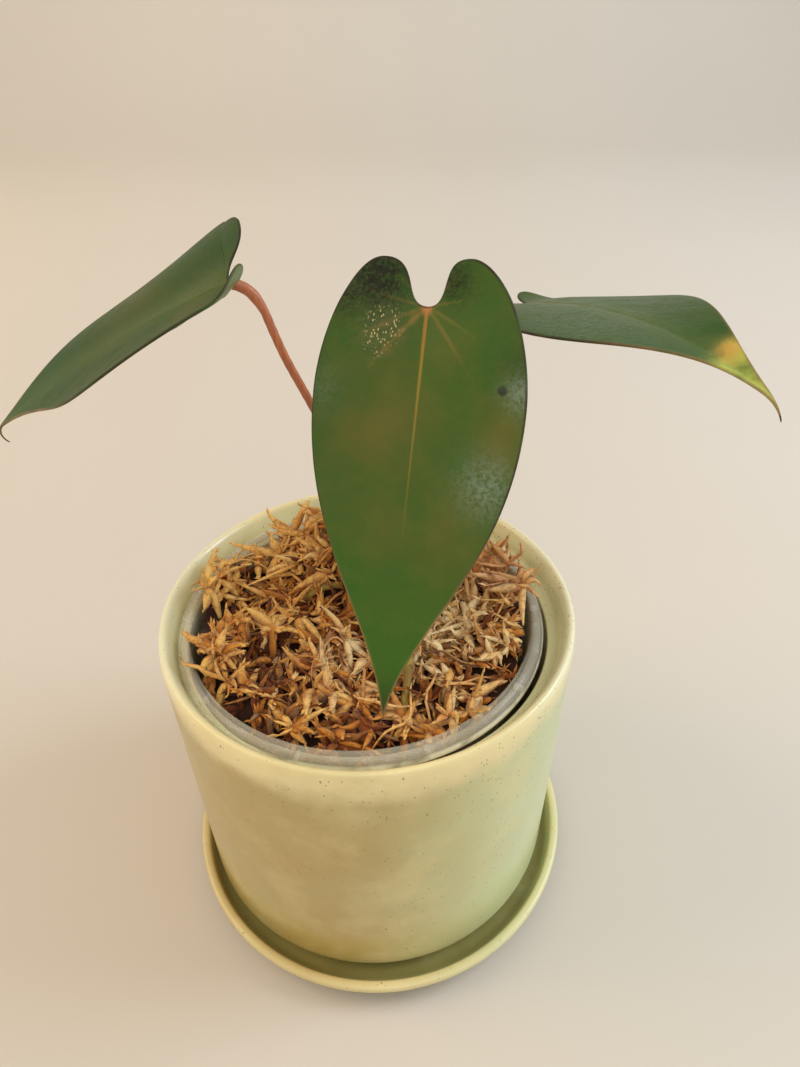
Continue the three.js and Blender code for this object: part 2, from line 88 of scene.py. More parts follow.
# Where the bed, painted near black as shade, shows between the moss tufts: (x, y, radius)
GAPS = [(-17, -49, 5.5), (-4, -54, 5), (16, -54, 5), (27, -36, 5), (-51, 1, 4), (-23, -22, 3),
        (-2, -9, 4), (-58, -8, 5), (-43, 38, 7), (40, -28, 3.5), (-38, -18, 3), (13, -34, 5)]
# Tufts that stand high over the bed or lean on the flange: (x, y, height over the bed, size)
CLUMPS = [(-57, 14, 3, 13), (-60, 7, 4, 12), (-53, 24, 3, 12), (-47, 31, 2, 12), (-35, 30, 3, 12),
          (-31, 38, 5, 13), (-25, 34, 6, 13), (-21, 44, 5, 13), (-27, 22, 3, 13), (-17, 40, 5, 12),
          (46, 32, 3, 11), (50, 27, 4, 12), (54, 20, 4, 13), (56, 12, 3, 12), (57, 2, 4, 11),
          (38, 38, 4, 12), (30, 44, 4, 12), (-8, -14, 3, 13), (6, -13, 3, 13), (22, -14, 3, 14),
          (37, -5, 3, 14), (27, -46, 3, 11), (-12, -36, 3, 12), (-34, -8, 3, 13)]

# Where the moss changes colour: (x, y, square of the reach, strength)
SHADES = [(-32, -34, 460, -0.34), (42, -12, 500, 0.14)]
BLEACHED = [(27, -14, 900, 1.0), (-3, -22, 220, 0.8)]
PINKISH = (54, 18, 320)

# Half the flat outline of a blade, in lengths from sinus to tip
LOBE = np.array([0.115, -0.105])
SHOULDER = np.array([0.275, 0.21])
SHOULDER_ROW = 0.4
NOTCH_ROW = 0.2
BLADE_COLUMNS = 44

# Left and right are as seen from above, looking from sinus to tip. Angles are in degrees. The
# spots are (colour mask, side, x, y, radius, strength) in flat blade lengths.
LEAVES = {
    "front": dict(
        sinus=(20.5, -10, 244.3), length=117.7, heading=-106, dip=64, roll=-11.5,
        arch=-1, hook=14, twist=13, sway=0, tip=(0.034, 0.247), joint=(2.4, 1.8), vein=1.0,
        left=dict(width=0.94, fold=(11, 0, 0), curl=-12.5, lift=22, rise=0.15),
        right=dict(width=0.93, fold=(10, 0, 6), curl=-4, lift=22, rise=0.15),
        petiole=[(13.6, 5.8, 139), (14, 9, 160), (17.5, 15, 192), (22.5, 13, 223), (25, 3, 238.5)],
    ),
    "left": dict(
        sinus=(-35.1, 10.4, 244.8), length=113, heading=180.7, dip=22.5, roll=1.9,
        arch=18.6, hook=90, twist=20.7, sway=0.17, tip=(0.004, 0.394), joint=(-0.9, 0.9),
        vein=0.08,
        left=dict(width=1.058, fold=(0, 0, -2), curl=19.6, lift=65, rise=0.105),
        right=dict(width=1.12, fold=(35, -15, 18), curl=-37, lift=29, rise=0.025),
        petiole=[(8, 10.5, 139), (5, 10.3, 152), (-4.5, 10, 179), (-14.4, 10, 205),
                 (-21.4, 10, 222), (-24.2, 10, 230.5), (-26.4, 10.8, 236.8), (-29.6, 11.4, 241.6),
                 (-32.6, 11, 243.7)],
    ),
    "right": dict(
        sinus=(53.6, 40.8, 225.7), length=102.5, heading=-55, dip=-20, roll=-3,
        arch=33, hook=49, twist=-4, sway=0.113, tip=(0.012, 0.297), joint=(2.1, 2.4), vein=0.15,
        left=dict(width=1.12, fold=(-5.6, -18, 46.6), curl=-10, lift=73, rise=0.15),
        right=dict(width=1, fold=(17.3, -18, 33), curl=-10, lift=73, rise=0.15),
        petiole=[(16.2, 11.8, 139), (19, 16, 156), (28, 26, 182), (41, 36, 206),
                 (50.5, 41.5, 217)],
    ),
}
# The glint kind carries painted glints and the waxy kind a painted sheen, each over real gloss.
SPOT_KINDS = ("yellow", "olive", "brown", "dark", "glint", "waxy")
LEAF_SPOTS = {
    "front": [("dark", 1, 0.13, -0.06, 0.085, 1.3), ("dark", 1, 0.2, -0.02, 0.06, 0.9),
              ("dark", -1, 0.07, -0.06, 0.05, 0.9), ("dark", -1, 0.25, 0.12, 0.05, 0.4),
              ("glint", 1, 0.105, 0.05, 0.05, 1.0),
              ("glint", 1, 0.12, 0.09, 0.035, 0.9), ("glint", 1, 0.14, -0.06, 0.06, 0.12),
              ("olive", 1, 0.05, 0.26, 0.14, 0.8), ("olive", -1, 0.04, 0.08, 0.08, 0.6),
              ("olive", -1, 0.22, 0.27, 0.08, 0.9), ("olive", 1, 0.05, 0.48, 0.08, 0.6),
              ("olive", 1, 0.1, 0.05, 0.07, 0.6), ("olive", -1, 0.12, 0.45, 0.09, 0.6),
              ("olive", 1, 0.03, 0.03, 0.02, 1.0), ("olive", 1, 0.06, 0.062, 0.022, 1.0),
              ("olive", 1, 0.09, 0.1, 0.024, 0.9), ("olive", 1, 0.12, 0.14, 0.026, 0.6),
              ("brown", -1, 0.215, 0.165, 0.014, 1.0), ("waxy", -1, 0.2, 0.38, 0.065, 1.0),
              ("waxy", -1, 0.262, 0.17, 0.042, 1.0), ("waxy", 1, 0.26, 0.2, 0.06, 0.3)],
    "left": [("olive", 1, 0.12, 0.3, 0.12, 0.3), ("olive", -1, 0.08, 0.1, 0.08, 0.4),
             ("brown", 1, 0.0, 1.0, 0.035, 1.0)],
    "right": [("yellow", -1, 0.03, 0.79, 0.05, 0.9), ("yellow", 1, 0.01, 0.93, 0.1, 0.9),
              ("yellow", 1, 0.03, 0.82, 0.06, 0.7), ("olive", -1, 0.03, 0.765, 0.04, 1.0),
              ("waxy", -1, 0.12, 0.3, 0.2, 0.15), ("waxy", 1, 0.12, 0.4, 0.26, 0.3),
              ("brown", 1, 0.0, 1.0, 0.022, 1.0)],
}
# Veins besides the midrib, as curves in flat blade lengths: start, middle and end of one side
BASAL_VEINS = [
    ((0.0, 0.0), (0.045, -0.035), (0.085, -0.075)),
    ((0.0, 0.0), (0.08, -0.01), (0.155, -0.03)),
    ((0.0, 0.0), (0.1, 0.035), (0.2, 0.1)),
    ((0.0, 0.0), (0.065, 0.06), (0.135, 0.144)),
]
LATERAL_VEINS = [((0.0, y), (0.1, y + 0.06), (0.2 - 0.14 * y, y + 0.19))
                 for y in (0.14, 0.27, 0.4, 0.53, 0.66)]
# How far in mm each groove reaches from its vein
GROOVES = {"rib_mm": 0.9, "basal_mm": 0.7, "lateral_mm": 1.0}
# Points along a petiole and round it, along a root and round it, and round the stem base
PETIOLE_GRID, ROOT_GRID, STEM_SIDES = (120, 20), (48, 14), 48

# Roots from the stem base; the last two come out of the moss
ROOT_ROUTES = [
    [(12, 10, 112), (30, 20, 100), (40, 26, 66), (36, 24, 34)],
    [(12, 10, 108), (8, -10, 96), (4, -28, 64), (2, -30, 30)],
    [(12, 10, 104), (-10, 16, 90), (-32, 18, 60), (-34, 12, 28)],
    [(12, 10, 100), (8, 26, 82), (2, 36, 54), (-4, 34, 26)],
    [(12, 10, 98), (20, -4, 72), (30, -16, 46), (28, -18, 24)],
    [(12, 10, 120), (3, 10.5, 128), (-5, 10.5, 130.5), (-14, 10, 131), (-19.5, 8.2, 130.3),
     (-25, 7, 126)],
    [(12, 10, 118), (14, -8, 122), (14.6, -20, 125), (14.2, -30, 126.5), (13.2, -38, 125.5),
     (12, -44, 120)],
]

# Lights: (name, place, target and width in metres, power setting, share of it, tint)
LIGHTS = [
    ("window", (0.95, 0.1, 0.85), (0.02, 0, 0.13), 0.6, "key_power", 1.0, (222, 238, 255)),
    ("fill", (-1.0, 0.05, 0.95), (0, 0, 0.13), 0.8, "fill_power", 1.0, (255, 218, 176)),
    ("front", (0.1, -0.9, 1.0), (0, 0, 0.13), 0.6, "fill_power", 0.35, (255, 240, 220)),
    ("backdrop left", (-0.9, 0.9, 1.3), (-0.9, 2.2, 0.5), 1.0, "fill_power", 1.25,
     (255, 228, 190)),
    ("backdrop right", (0.9, 0.9, 1.3), (0.9, 2.2, 0.5), 1.0, "fill_power", 1.5,
     (200, 228, 255)),
]
# The camera, worked out from the outlines of the pot and saucer: place in mm, angles in
# radians, and the focal length in pixels of a picture that is so many pixels high
CAMERA = dict(place=(12.21, -200.29, 313.70), pitch=0.6467, roll=-0.0170, focal=739.72,
              high=1067)
SENSOR = 36.0
# The floor's profile, y and z in metres: front edge, start, corner and end of the bend, top
FLOOR_LINE = [(-2.5, 0), (1.6, 0), (2.4, 0), (2.4, 0.8), (2.4, 3.0)]
FLOOR_HALF = 3.5


# Shapes


def smooth(value, low, high):
    """3t^2 - 2t^3, with t the value's place from low to high, kept between 0 and 1."""
    t = np.clip((np.asarray(value, float) - low) / (high - low), 0, 1)
    return t * t * (3 - 2 * t)


def unit(vectors):
    """Each vector made one long."""
    return vectors / np.maximum(np.linalg.norm(vectors, axis=-1, keepdims=True), 1e-12)


def turns(count):
    """Even turns round a circle: 2 pi k / count."""
    return 2 * np.pi * np.arange(count) / count


def lengths_along(line):
    """How far each point of a line is from its start, the sum of the steps before it."""
    return np.concatenate([[0], np.cumsum(np.linalg.norm(np.diff(line, axis=0), axis=1))])


def round_liner(radius, turn):
    """x and y at a radius and a turn round the clear pot's axis."""
    return LINER_AT[0] + radius * np.cos(turn), LINER_AT[1] + radius * np.sin(turn)


def curve(points, t):
    """A quadratic or cubic Bezier curve: the sum of each point times its Bernstein weight at t."""
    t = np.asarray(t, float)[:, None]
    last = len(points) - 1
    return sum(math.comb(last, i) * (1 - t) ** (last - i) * t ** i * np.asarray(p, float)
               for i, p in enumerate(points))


def path(start, *steps):
    """A turned profile of straight steps (r, z) and curved ones (control, end), with points at
    most PROFILE_STEP apart."""
    points = [np.array([start], float)]
    part = np.linspace(0, 1, 11)
    for step in steps:
        if np.ndim(step) == 1:
            points.append(np.array([step], float))
        else:
            points.append(curve([points[-1][-1], *step], part)[1:])
    return spaced(np.vstack(points), PROFILE_STEP)


def spaced(points, step):
    """The same line with extra points, so that none is further than step from the next."""
    rows = [points[:1]]
    for a, b in zip(points[:-1], points[1:]):
        count = max(1, int(np.ceil(np.linalg.norm(b - a) / step)))
        rows.append(a + (b - a) * (np.arange(1, count + 1) / count)[:, None])
    return np.vstack(rows)


def spline(points, count):
    """A centripetal Catmull-Rom curve through the points, read at even steps of its length."""
    p = np.asarray(points, float)
    p = np.vstack([2 * p[0] - p[1], p, 2 * p[-1] - p[-2]])
    knots = np.concatenate([[0], np.cumsum(np.linalg.norm(np.diff(p, axis=0), axis=1) ** 0.5)])
    parts = []
    for i in range(1, len(p) - 2):
        t = np.linspace(knots[i], knots[i + 1], 40)[:, None]
        k = knots[i - 1:i + 3]
        a = [(p[i - 1 + j] * (k[j + 1] - t) + p[i + j] * (t - k[j])) / (k[j + 1] - k[j])
             for j in range(3)]
        b = [(a[j] * (k[j + 2] - t) + a[j + 1] * (t - k[j])) / (k[j + 2] - k[j])
             for j in range(2)]
        parts.append((b[0] * (k[2] - t) + b[1] * (t - k[1])) / (k[2] - k[1]))
    line = np.vstack(parts)
    far = lengths_along(line)
    even = np.linspace(0, far[-1], count)
    return np.stack([np.interp(even, far, line[:, k]) for k in range(3)], 1)


def grid_faces(rows, columns, ring):
    """Triangles of a grid of points; a ring joins its last column to its first."""
    index = np.arange(rows * columns).reshape(rows, columns)
    if ring:
        index = np.hstack([index, index[:, :1]])
    a, b, c, d = index[:-1, :-1], index[:-1, 1:], index[1:, 1:], index[1:, :-1]
    return np.concatenate([np.stack([a, b, c], -1).reshape(-1, 3),
                           np.stack([a, c, d], -1).reshape(-1, 3)])


def weld(points, faces, masks):
    """Joins points that are in the same place and drops the triangles that have no area."""
    keys = np.round(points / 1e-4).astype(np.int64)
    _, first, index = np.unique(keys, axis=0, return_index=True, return_inverse=True)
    faces = index.reshape(-1)[faces]
    a, b, c = faces.T
    faces = faces[(a != b) & (b != c) & (c != a)]
    return points[first], faces, {key: value[first] for key, value in masks.items()}


def outward(points, faces):
    """Turns the triangles of a closed shape so that its volume, one sixth of the sum of
    a . (b x c), comes out above zero."""
    a, b, c = (points[faces[:, k]] for k in range(3))
    return faces if np.einsum("ij,ij->", a, np.cross(b, c)) > 0 else faces[:, ::-1]


def vertex_normals(points, faces):
    """The sum of (b - a) x (c - a) over the triangles at each point, made one long."""
    a, b, c = (points[faces[:, k]] for k in range(3))
    flat = np.cross(b - a, c - a)
    total = np.zeros_like(points)
    for k in range(3):
        np.add.at(total, faces[:, k], flat)
    return unit(total)


def turned(profile, segments, centre, base):
    """A profile of radius and height carried round the Z axis: (r cos t, r sin t, z)."""
    turn = turns(segments)
    r, z = profile[:, :1], profile[:, 1:]
    points = np.stack([centre[0] + r * np.cos(turn), centre[1] + r * np.sin(turn),
                       base + z + 0 * turn], -1).reshape(-1, 3)
    points, faces, _ = weld(points, grid_faces(len(profile), segments, True), {})
    return points, outward(points, faces)


def tubes(lines, radii, sides, flat=1.0, roll=0.0):
    """Closed tubes along many lines at once. lines is (tube, step, 3) and radii (tube, step); a
    section is r (cos t side + flat sin t up), with side = tangent x OFF_LINE, which is nearly
    level, and up = side x tangent, both turned by the roll."""
    lines = np.asarray(lines, float)
    count, steps = lines.shape[:2]
    tangent = unit(np.gradient(lines, axis=1))
    side = unit(np.cross(tangent, OFF_LINE))
    up = np.cross(side, tangent)
    roll = np.broadcast_to(np.asarray(roll, float).reshape(-1, 1, 1), (count, steps, 1))
    side, up = side * np.cos(roll) + up * np.sin(roll), up * np.cos(roll) - side * np.sin(roll)
    turn = turns(sides)
    wide = (radii[..., None] * np.cos(turn))[..., None] * side[:, :, None]
    high = (radii[..., None] * np.sin(turn) * flat)[..., None] * up[:, :, None]
    ring = lines[:, :, None] + wide + high
    points = np.concatenate([ring.reshape(count, -1, 3), lines[:, :1], lines[:, -1:]], 1)
    body = grid_faces(steps, sides, True)
    j = np.arange(sides)
    k = (j + 1) % sides
    ends = steps * sides
    first = np.stack([np.full(sides, ends), k, j], 1)
    last = np.stack([np.full(sides, ends + 1), ends - sides + j, ends - sides + k], 1)
    faces = np.vstack([body, first, last])
    faces = outward(points[0], faces)
    offset = (np.arange(count) * points.shape[1])[:, None, None]
    return points.reshape(-1, 3), (faces[None] + offset).reshape(-1, 3)


def joined(*shapes):
    """Several shapes as one: all their points, with the triangles numbered on."""
    starts = np.cumsum([0] + [len(points) for points, _ in shapes])
    return (np.vstack([points for points, _ in shapes]),
            np.vstack([faces + start for (_, faces), start in zip(shapes, starts)]))


def put_in(name, data, *axes):
    """A new object in the scene, at the origin, or at a place with its own X, Y and Z along
    three directions."""
    item = bpy.data.objects.new(name, data)
    if axes:
        item.matrix_world = Matrix([*np.stack(axes, 1).tolist(), (0, 0, 0, 1)])
    bpy.context.scene.collection.objects.link(item)
    return item


def add_piece(name, points, faces, material, slot, nodes=(), masks=None):
    """Puts a finished shape into the scene as a piece of the object, at the origin."""
    points = np.ascontiguousarray(points * MM, dtype=np.float32)
    faces = np.ascontiguousarray(faces, dtype=np.int32)
    mesh = bpy.data.meshes.new(name)
    mesh.vertices.add(len(points))
    mesh.vertices.foreach_set("co", points.ravel())
    mesh.loops.add(faces.size)
    mesh.loops.foreach_set("vertex_index", faces.ravel())
    mesh.polygons.add(len(faces))
    mesh.polygons.foreach_set("loop_start", np.arange(0, faces.size, 3, dtype=np.int32))
    mesh.polygons.foreach_set("use_smooth", np.ones(len(faces), bool))
    for key, value in (masks or {}).items():
        layer = mesh.attributes.new(key, "FLOAT", "POINT")
        layer.data.foreach_set("value", np.ascontiguousarray(value, dtype=np.float32))
    mesh.update()
    if mesh.validate():
        raise RuntimeError(f"{name} has stray faces")
    mesh.materials.append(material)
    piece = put_in(name, mesh)
    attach(piece, "root")
    if nodes:
        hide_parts(*nodes)
    return piece


# Pots


def saucer_profile():
    """The underside, the rounded rim and the dished floor, each a straight or quadratic step."""
    return path((0, 0), (62, 0), ((77.5, 1), (80.1, 9.6)), ((80.7, 12.5), (78.6, 12.5)),
                ((76.7, 12.5), (76.3, 10.6)), ((75.5, 6.5), (70.5, 6.5)), (0, 6.5))


def cover_pot_profile():
    """From the drain hole out under the foot ring, up the wall, over the rim, along the shelf under
    the clear pot's flange and down inside."""
    top = POT_TOP - POT_BASE
    return path((7, 1.2), (59, 1.2), (60.2, 0), (65, 0), ((73.5, 0), (73.5, 8)),
                (74.6, top - 5.5), ((74.6, top), (73.1, top)), ((70.9, top), (69.7, top - 6.2)),
                ((69.6, top - 9.8), (66.2, top - 10)), ((65.5, top - 10), (65.5, top - 11)),
                (65.2, 16.5), ((65.2, 7.5), (56.2, 7.5)), (7, 7.5), (7, 1.2))


def liner_profile():
    """The base, the tapered wall, the flange that turns out and down, and down the inside."""
    top = LINER_RIM_TOP - LINER_FLOOR
    return path((0, 0), (47, 0), ((49, 0), (49, 2)), (62.4, top - 2.2),
                ((65, top - 1.1), (65, top - 4.8)), (66.1, top - 4.8), ((66.1, top), (62.4, top)),
                ((61.3, top), (61.3, top - 1.1)), (47.9, 3.1), (46.4, 1.1), (0, 1.1))


def flange_ribs():
    """Small ribs between the wall and the flange: flattened tubes along radii, set at even
    turns round the pot."""
    turn = np.radians(RIBS["first"]) + turns(RIBS["count"])
    x, y = round_liner(np.linspace(RIBS["inner"], RIBS["outer"], 4)[None], turn[:, None])
    lines = np.stack([x, y, np.full(x.shape, LINER_RIM_TOP - RIBS["below"])], -1)
    return tubes(lines, np.full(x.shape, RIBS["radius"]), 8, 2.0)


def drilled(points, faces, centres, radius, low, high):
    """The same shape with round holes along Z: the difference of it and as many cylinders."""
    shape = bpy.data.meshes.new("whole")
    shape.from_pydata((points * MM).tolist(), [], faces.tolist())
    lines = np.array([[(x, y, low), (x, y, high)] for x, y in centres])
    pins, pin_faces = tubes(lines, np.full((len(lines), 2), radius), 24)
    tool = bpy.data.meshes.new("pins")
    tool.from_pydata((pins * MM).tolist(), [], pin_faces.tolist())
    whole, cutter = (put_in(mesh.name, mesh) for mesh in (shape, tool))
    cut = whole.modifiers.new("holes", "BOOLEAN")
    cut.operation = "DIFFERENCE"
    cut.object = cutter
    cut.solver = "EXACT"
    ready = whole.evaluated_get(bpy.context.evaluated_depsgraph_get())
    done = bpy.data.meshes.new_from_object(ready)
    done.calc_loop_triangles()
    out = np.empty(len(done.vertices) * 3)
    done.vertices.foreach_get("co", out)
    corners = np.empty(len(done.loop_triangles) * 3, dtype=np.int32)
    done.loop_triangles.foreach_get("vertices", corners)
    for item in (whole, cutter):
        bpy.data.objects.remove(item)
    for mesh in (shape, tool, done):
        bpy.data.meshes.remove(mesh)
    return out.reshape(-1, 3) / MM, corners.reshape(-1, 3)


# Moss


def bell(x, y, at_x, at_y, spread):
    """exp(-d^2 / spread), with d the distance from a centre."""
    return np.exp(-((x - at_x) ** 2 + (y - at_y) ** 2) / spread)


def moss_height(x, y):
    """A level bed, a broad mound, small lumps, a rise at the sides and a fall at the wall."""
    x, y = np.asarray(x, float), np.asarray(y, float)
    from_wall = LINER_BORE - np.hypot(x - LINER_AT[0], y - LINER_AT[1])
    mound = 26 * bell(x, y, -3, 30, 2 * 17 ** 2)
    lumps = 1.5 * (np.sin(x / 4.1 + 1) * np.cos(y / 3.7) + np.sin(x / 7.3 - y / 5.9))
    sides = 15 * ((x - LINER_AT[0]) / LINER_BORE) ** 4
    return 121 + mound + lumps + sides - 4.5 * (1 - smooth(from_wall, 0, 12))


def moss_bed():
    """The bed under the tufts, painted near black as shade by its material: rings round the pot's
    axis, at the moss height less a depth, with a fine crumple of crossed sines."""
    turn = turns(160)

    def surface(radius):
        x, y = round_liner(radius, turn)
        crumple = 1.1 * np.sin(x * 1.3 + 2 * np.sin(y * 0.7)) * np.cos(y * 1.1 + np.sin(x * 0.9))
        return moss_height(x, y) - BED_DEPTH + crumple

    ring = np.ones_like(turn)
    foot, low = BED_FOOT
    rows = [(0 * ring, low * ring), (foot * ring, low * ring),
            (BED_RADIUS * ring, surface(BED_RADIUS) - 1)]
    rows += [(r * ring, surface(r)) for r in np.linspace(BED_RADIUS - 0.2, 0, 42)]
    r, z = np.swapaxes(np.array(rows), 0, 1)
    points = np.stack([*round_liner(r, turn), z], -1)
    points, faces, _ = weld(points.reshape(-1, 3), grid_faces(len(rows), len(turn), True), {})
    return points, outward(points, faces)


def scatter(rng, count, reach):
    """Points spread evenly over a disc: radius R sqrt(share), turned by NEXT_TURN each."""
    share = (np.arange(count) + rng.uniform(0, 1, count)) / count
    radius = reach * np.sqrt(share)
    turn = np.arange(count) * NEXT_TURN + rng.normal(0, 0.05, count)
    return round_liner(radius, turn)


def kept_in(lines):
    """The lines pulled in towards the axis where they would cross the clear wall; above the rim
    they may lean out over it."""
    fx, fy = lines[..., 0] - LINER_AT[0], lines[..., 1] - LINER_AT[1]
    reach = MOSS_REACH + LEAN_OUT * smooth(lines[..., 2], LINER_RIM_TOP, LINER_RIM_TOP + 3)
    share = np.minimum(1, reach / np.maximum(np.hypot(fx, fy), 1e-6))
    return np.stack([LINER_AT[0] + fx * share, LINER_AT[1] + fy * share, lines[..., 2]], -1)


def clear_of_stem(lines, gap):
    """Which lines stay further than the gap from the stem's axis."""
    away = np.hypot(lines[:, :, 0] - STEM_AT[0], lines[:, :, 1] - STEM_AT[1]).min(1)
    return away > gap


def in_gaps(x, y):
    """How far a place is inside a gap of the moss: the highest of exp(-(distance/radius)^4)."""
    return np.max([np.exp(-(((x - gx) ** 2 + (y - gy) ** 2) / r ** 2) ** 2) for gx, gy, r in GAPS],
                  0)


def moss_normal(x, y):
    """Up out of the moss: (-dz/dx, -dz/dy, 1) made one long, from steps of 2 mm."""
    across = (moss_height(x + 2, y) - moss_height(x - 2, y)) / 4
    deep = (moss_height(x, y + 2) - moss_height(x, y - 2)) / 4
    return unit(np.stack([-across, -deep, np.ones_like(across)], -1))


def tufts(rng, hub, axis, size):
    """Centre lines of the branchlets. Branchlet k of a tuft leaves its hub at a turn of
    2 pi k / PER_TUFT round the axis and at a random lift, and goes by length (s heading +
    s^2 bend)."""
    per = PER_TUFT
    owner = np.repeat(np.arange(len(hub)), per)
    count = len(owner)
    axis = axis[owner]
    side = unit(np.cross(axis, OFF_AXIS))
    turn = 2 * np.pi * (np.tile(np.arange(per), len(hub)) + rng.uniform(-0.35, 0.35, count)) / per
    turn = (turn + np.repeat(rng.uniform(0, FULL_TURN, len(hub)), per))[:, None]
    lift = np.radians(rng.normal(22, 20, count))[:, None]
    flat = side * np.cos(turn) + np.cross(axis, side) * np.sin(turn)
    heading = flat * np.cos(lift) + axis * np.sin(lift)
    length = size[owner] * rng.uniform(0.55, 1.1, count)
    bend = rng.normal(0, 0.4, (count, 3)) + (0, 0, -0.25)
    s = np.linspace(0, 1, 7)[None, :, None]
    lines = hub[owner][:, None] + length[:, None, None] * (
        s * heading[:, None] + s * s * bend[:, None])
    return kept_in(lines), owner


# Leaves


def flat_half(tip, rows, columns):
    """A flat half blade as a grid: the inner edge runs round the sinus and down the midrib, the
    outer one is the margin, both cubic Bezier curves, and a row is straight from one to the
    other, with points closer together at both ends."""
    notch = int(round(rows * NOTCH_ROW))
    w = np.concatenate([np.linspace(0, NOTCH_ROW, notch + 1),
                        np.linspace(NOTCH_ROW, 1, rows - notch)[1:]])
    high = curve([LOBE, LOBE + (0.08, 0), SHOULDER - (0, 0.153), SHOULDER],
                 np.minimum(w / SHOULDER_ROW, 1))
    low = curve([SHOULDER, SHOULDER + (0, 0.355), (tip[0], 1 - tip[1]), (0, 1)],
                np.maximum((w - SHOULDER_ROW) / (1 - SHOULDER_ROW), 0))
    margin = np.where((w <= SHOULDER_ROW)[:, None], high, low)
    sinus = curve([LOBE, LOBE - (0.095, 0), (0.07, 0), (0, 0)], np.minimum(w / NOTCH_ROW, 1))
    rib = np.stack([0 * w, (w - NOTCH_ROW) / (1 - NOTCH_ROW)], 1)
    inner = np.where((w <= NOTCH_ROW)[:, None], sinus, rib)
    a = np.linspace(0, 1, columns)
    a = (0.4 * a + 0.6 * (1 - np.cos(np.pi * a)) / 2)[None, :, None]
    return inner[:, None] * (1 - a) + margin[:, None] * a, inner, margin


def near(points, line):
    """The distance of each flat point to the nearest point of a line."""
    best = np.full(len(points), np.inf)
    for part in np.array_split(line, max(1, len(line) // 40)):
        gap = np.linalg.norm(points[:, None] - part[None], axis=2).min(1)
        best = np.minimum(best, gap)
    return best


def leaf_axes(leaf):
    """The midrib's direction, the direction across to the right, and up out of the blade."""
    heading, dip, roll = np.radians([leaf["heading"], leaf["dip"], leaf["roll"]])
    along = np.array([np.cos(dip) * np.cos(heading), np.cos(dip) * np.sin(heading), -np.sin(dip)])
    level = np.array([np.sin(heading), -np.cos(heading), 0])
    upright = np.cross(level, along)
    across = level * np.cos(roll) + upright * np.sin(roll)
    return along, across, upright * np.cos(roll) - level * np.sin(roll)


def bend_blade(leaf, flat, side):
    """Bends flat points: the half swings up by fold + curl x / 0.6 L, softened within a few
    millimetres of the midrib, the section turns by twist y and sways by sway L y^2, and the
    whole follows a line whose slope is arch y + hook + lift."""
    half = leaf["right"] if side > 0 else leaf["left"]
    length = leaf["length"]
    x, y = flat[:, 0] * half["width"] * length, flat[:, 1]
    in_blade = np.clip(y, 0, 1)
    base, middle, end = half["fold"]
    fold = base + (end - base) * y + middle * 4 * in_blade * (1 - in_blade)
    swing = np.radians(fold + half["curl"] * x / (0.6 * length)) * (1 - np.exp(-x / 1.2))
    twist = np.radians(leaf["twist"]) * y
    fx, fz = side * x * np.cos(swing), x * np.sin(swing)
    across = fx * np.cos(twist) - fz * np.sin(twist) + leaf["sway"] * length * in_blade ** 2
    above = fx * np.sin(twist) + fz * np.cos(twist)
    u = np.linspace(-0.25, 1, 501)
    slope = (np.radians(leaf["arch"]) * u
             + np.radians(leaf["hook"]) * np.clip((u - 0.9) / 0.1, 0, 1) ** 1.5
             + np.radians(half["lift"]) * np.clip(-u / half["rise"], 0, 1))
    step = (u[1] - u[0]) * length
    run, drop = np.cumsum(np.cos(slope)) * step, np.cumsum(np.sin(slope)) * step
    run, drop = run - np.interp(0, u, run), drop - np.interp(0, u, drop)
    tilt = np.interp(y, u, slope)
    forth = np.interp(y, u, run) + above * np.sin(tilt)
    high = -np.interp(y, u, drop) + above * np.cos(tilt)
    along, right, up = leaf_axes(leaf)
    return (np.array(leaf["sinus"]) + forth[:, None] * along + across[:, None] * right
            + high[:, None] * up)


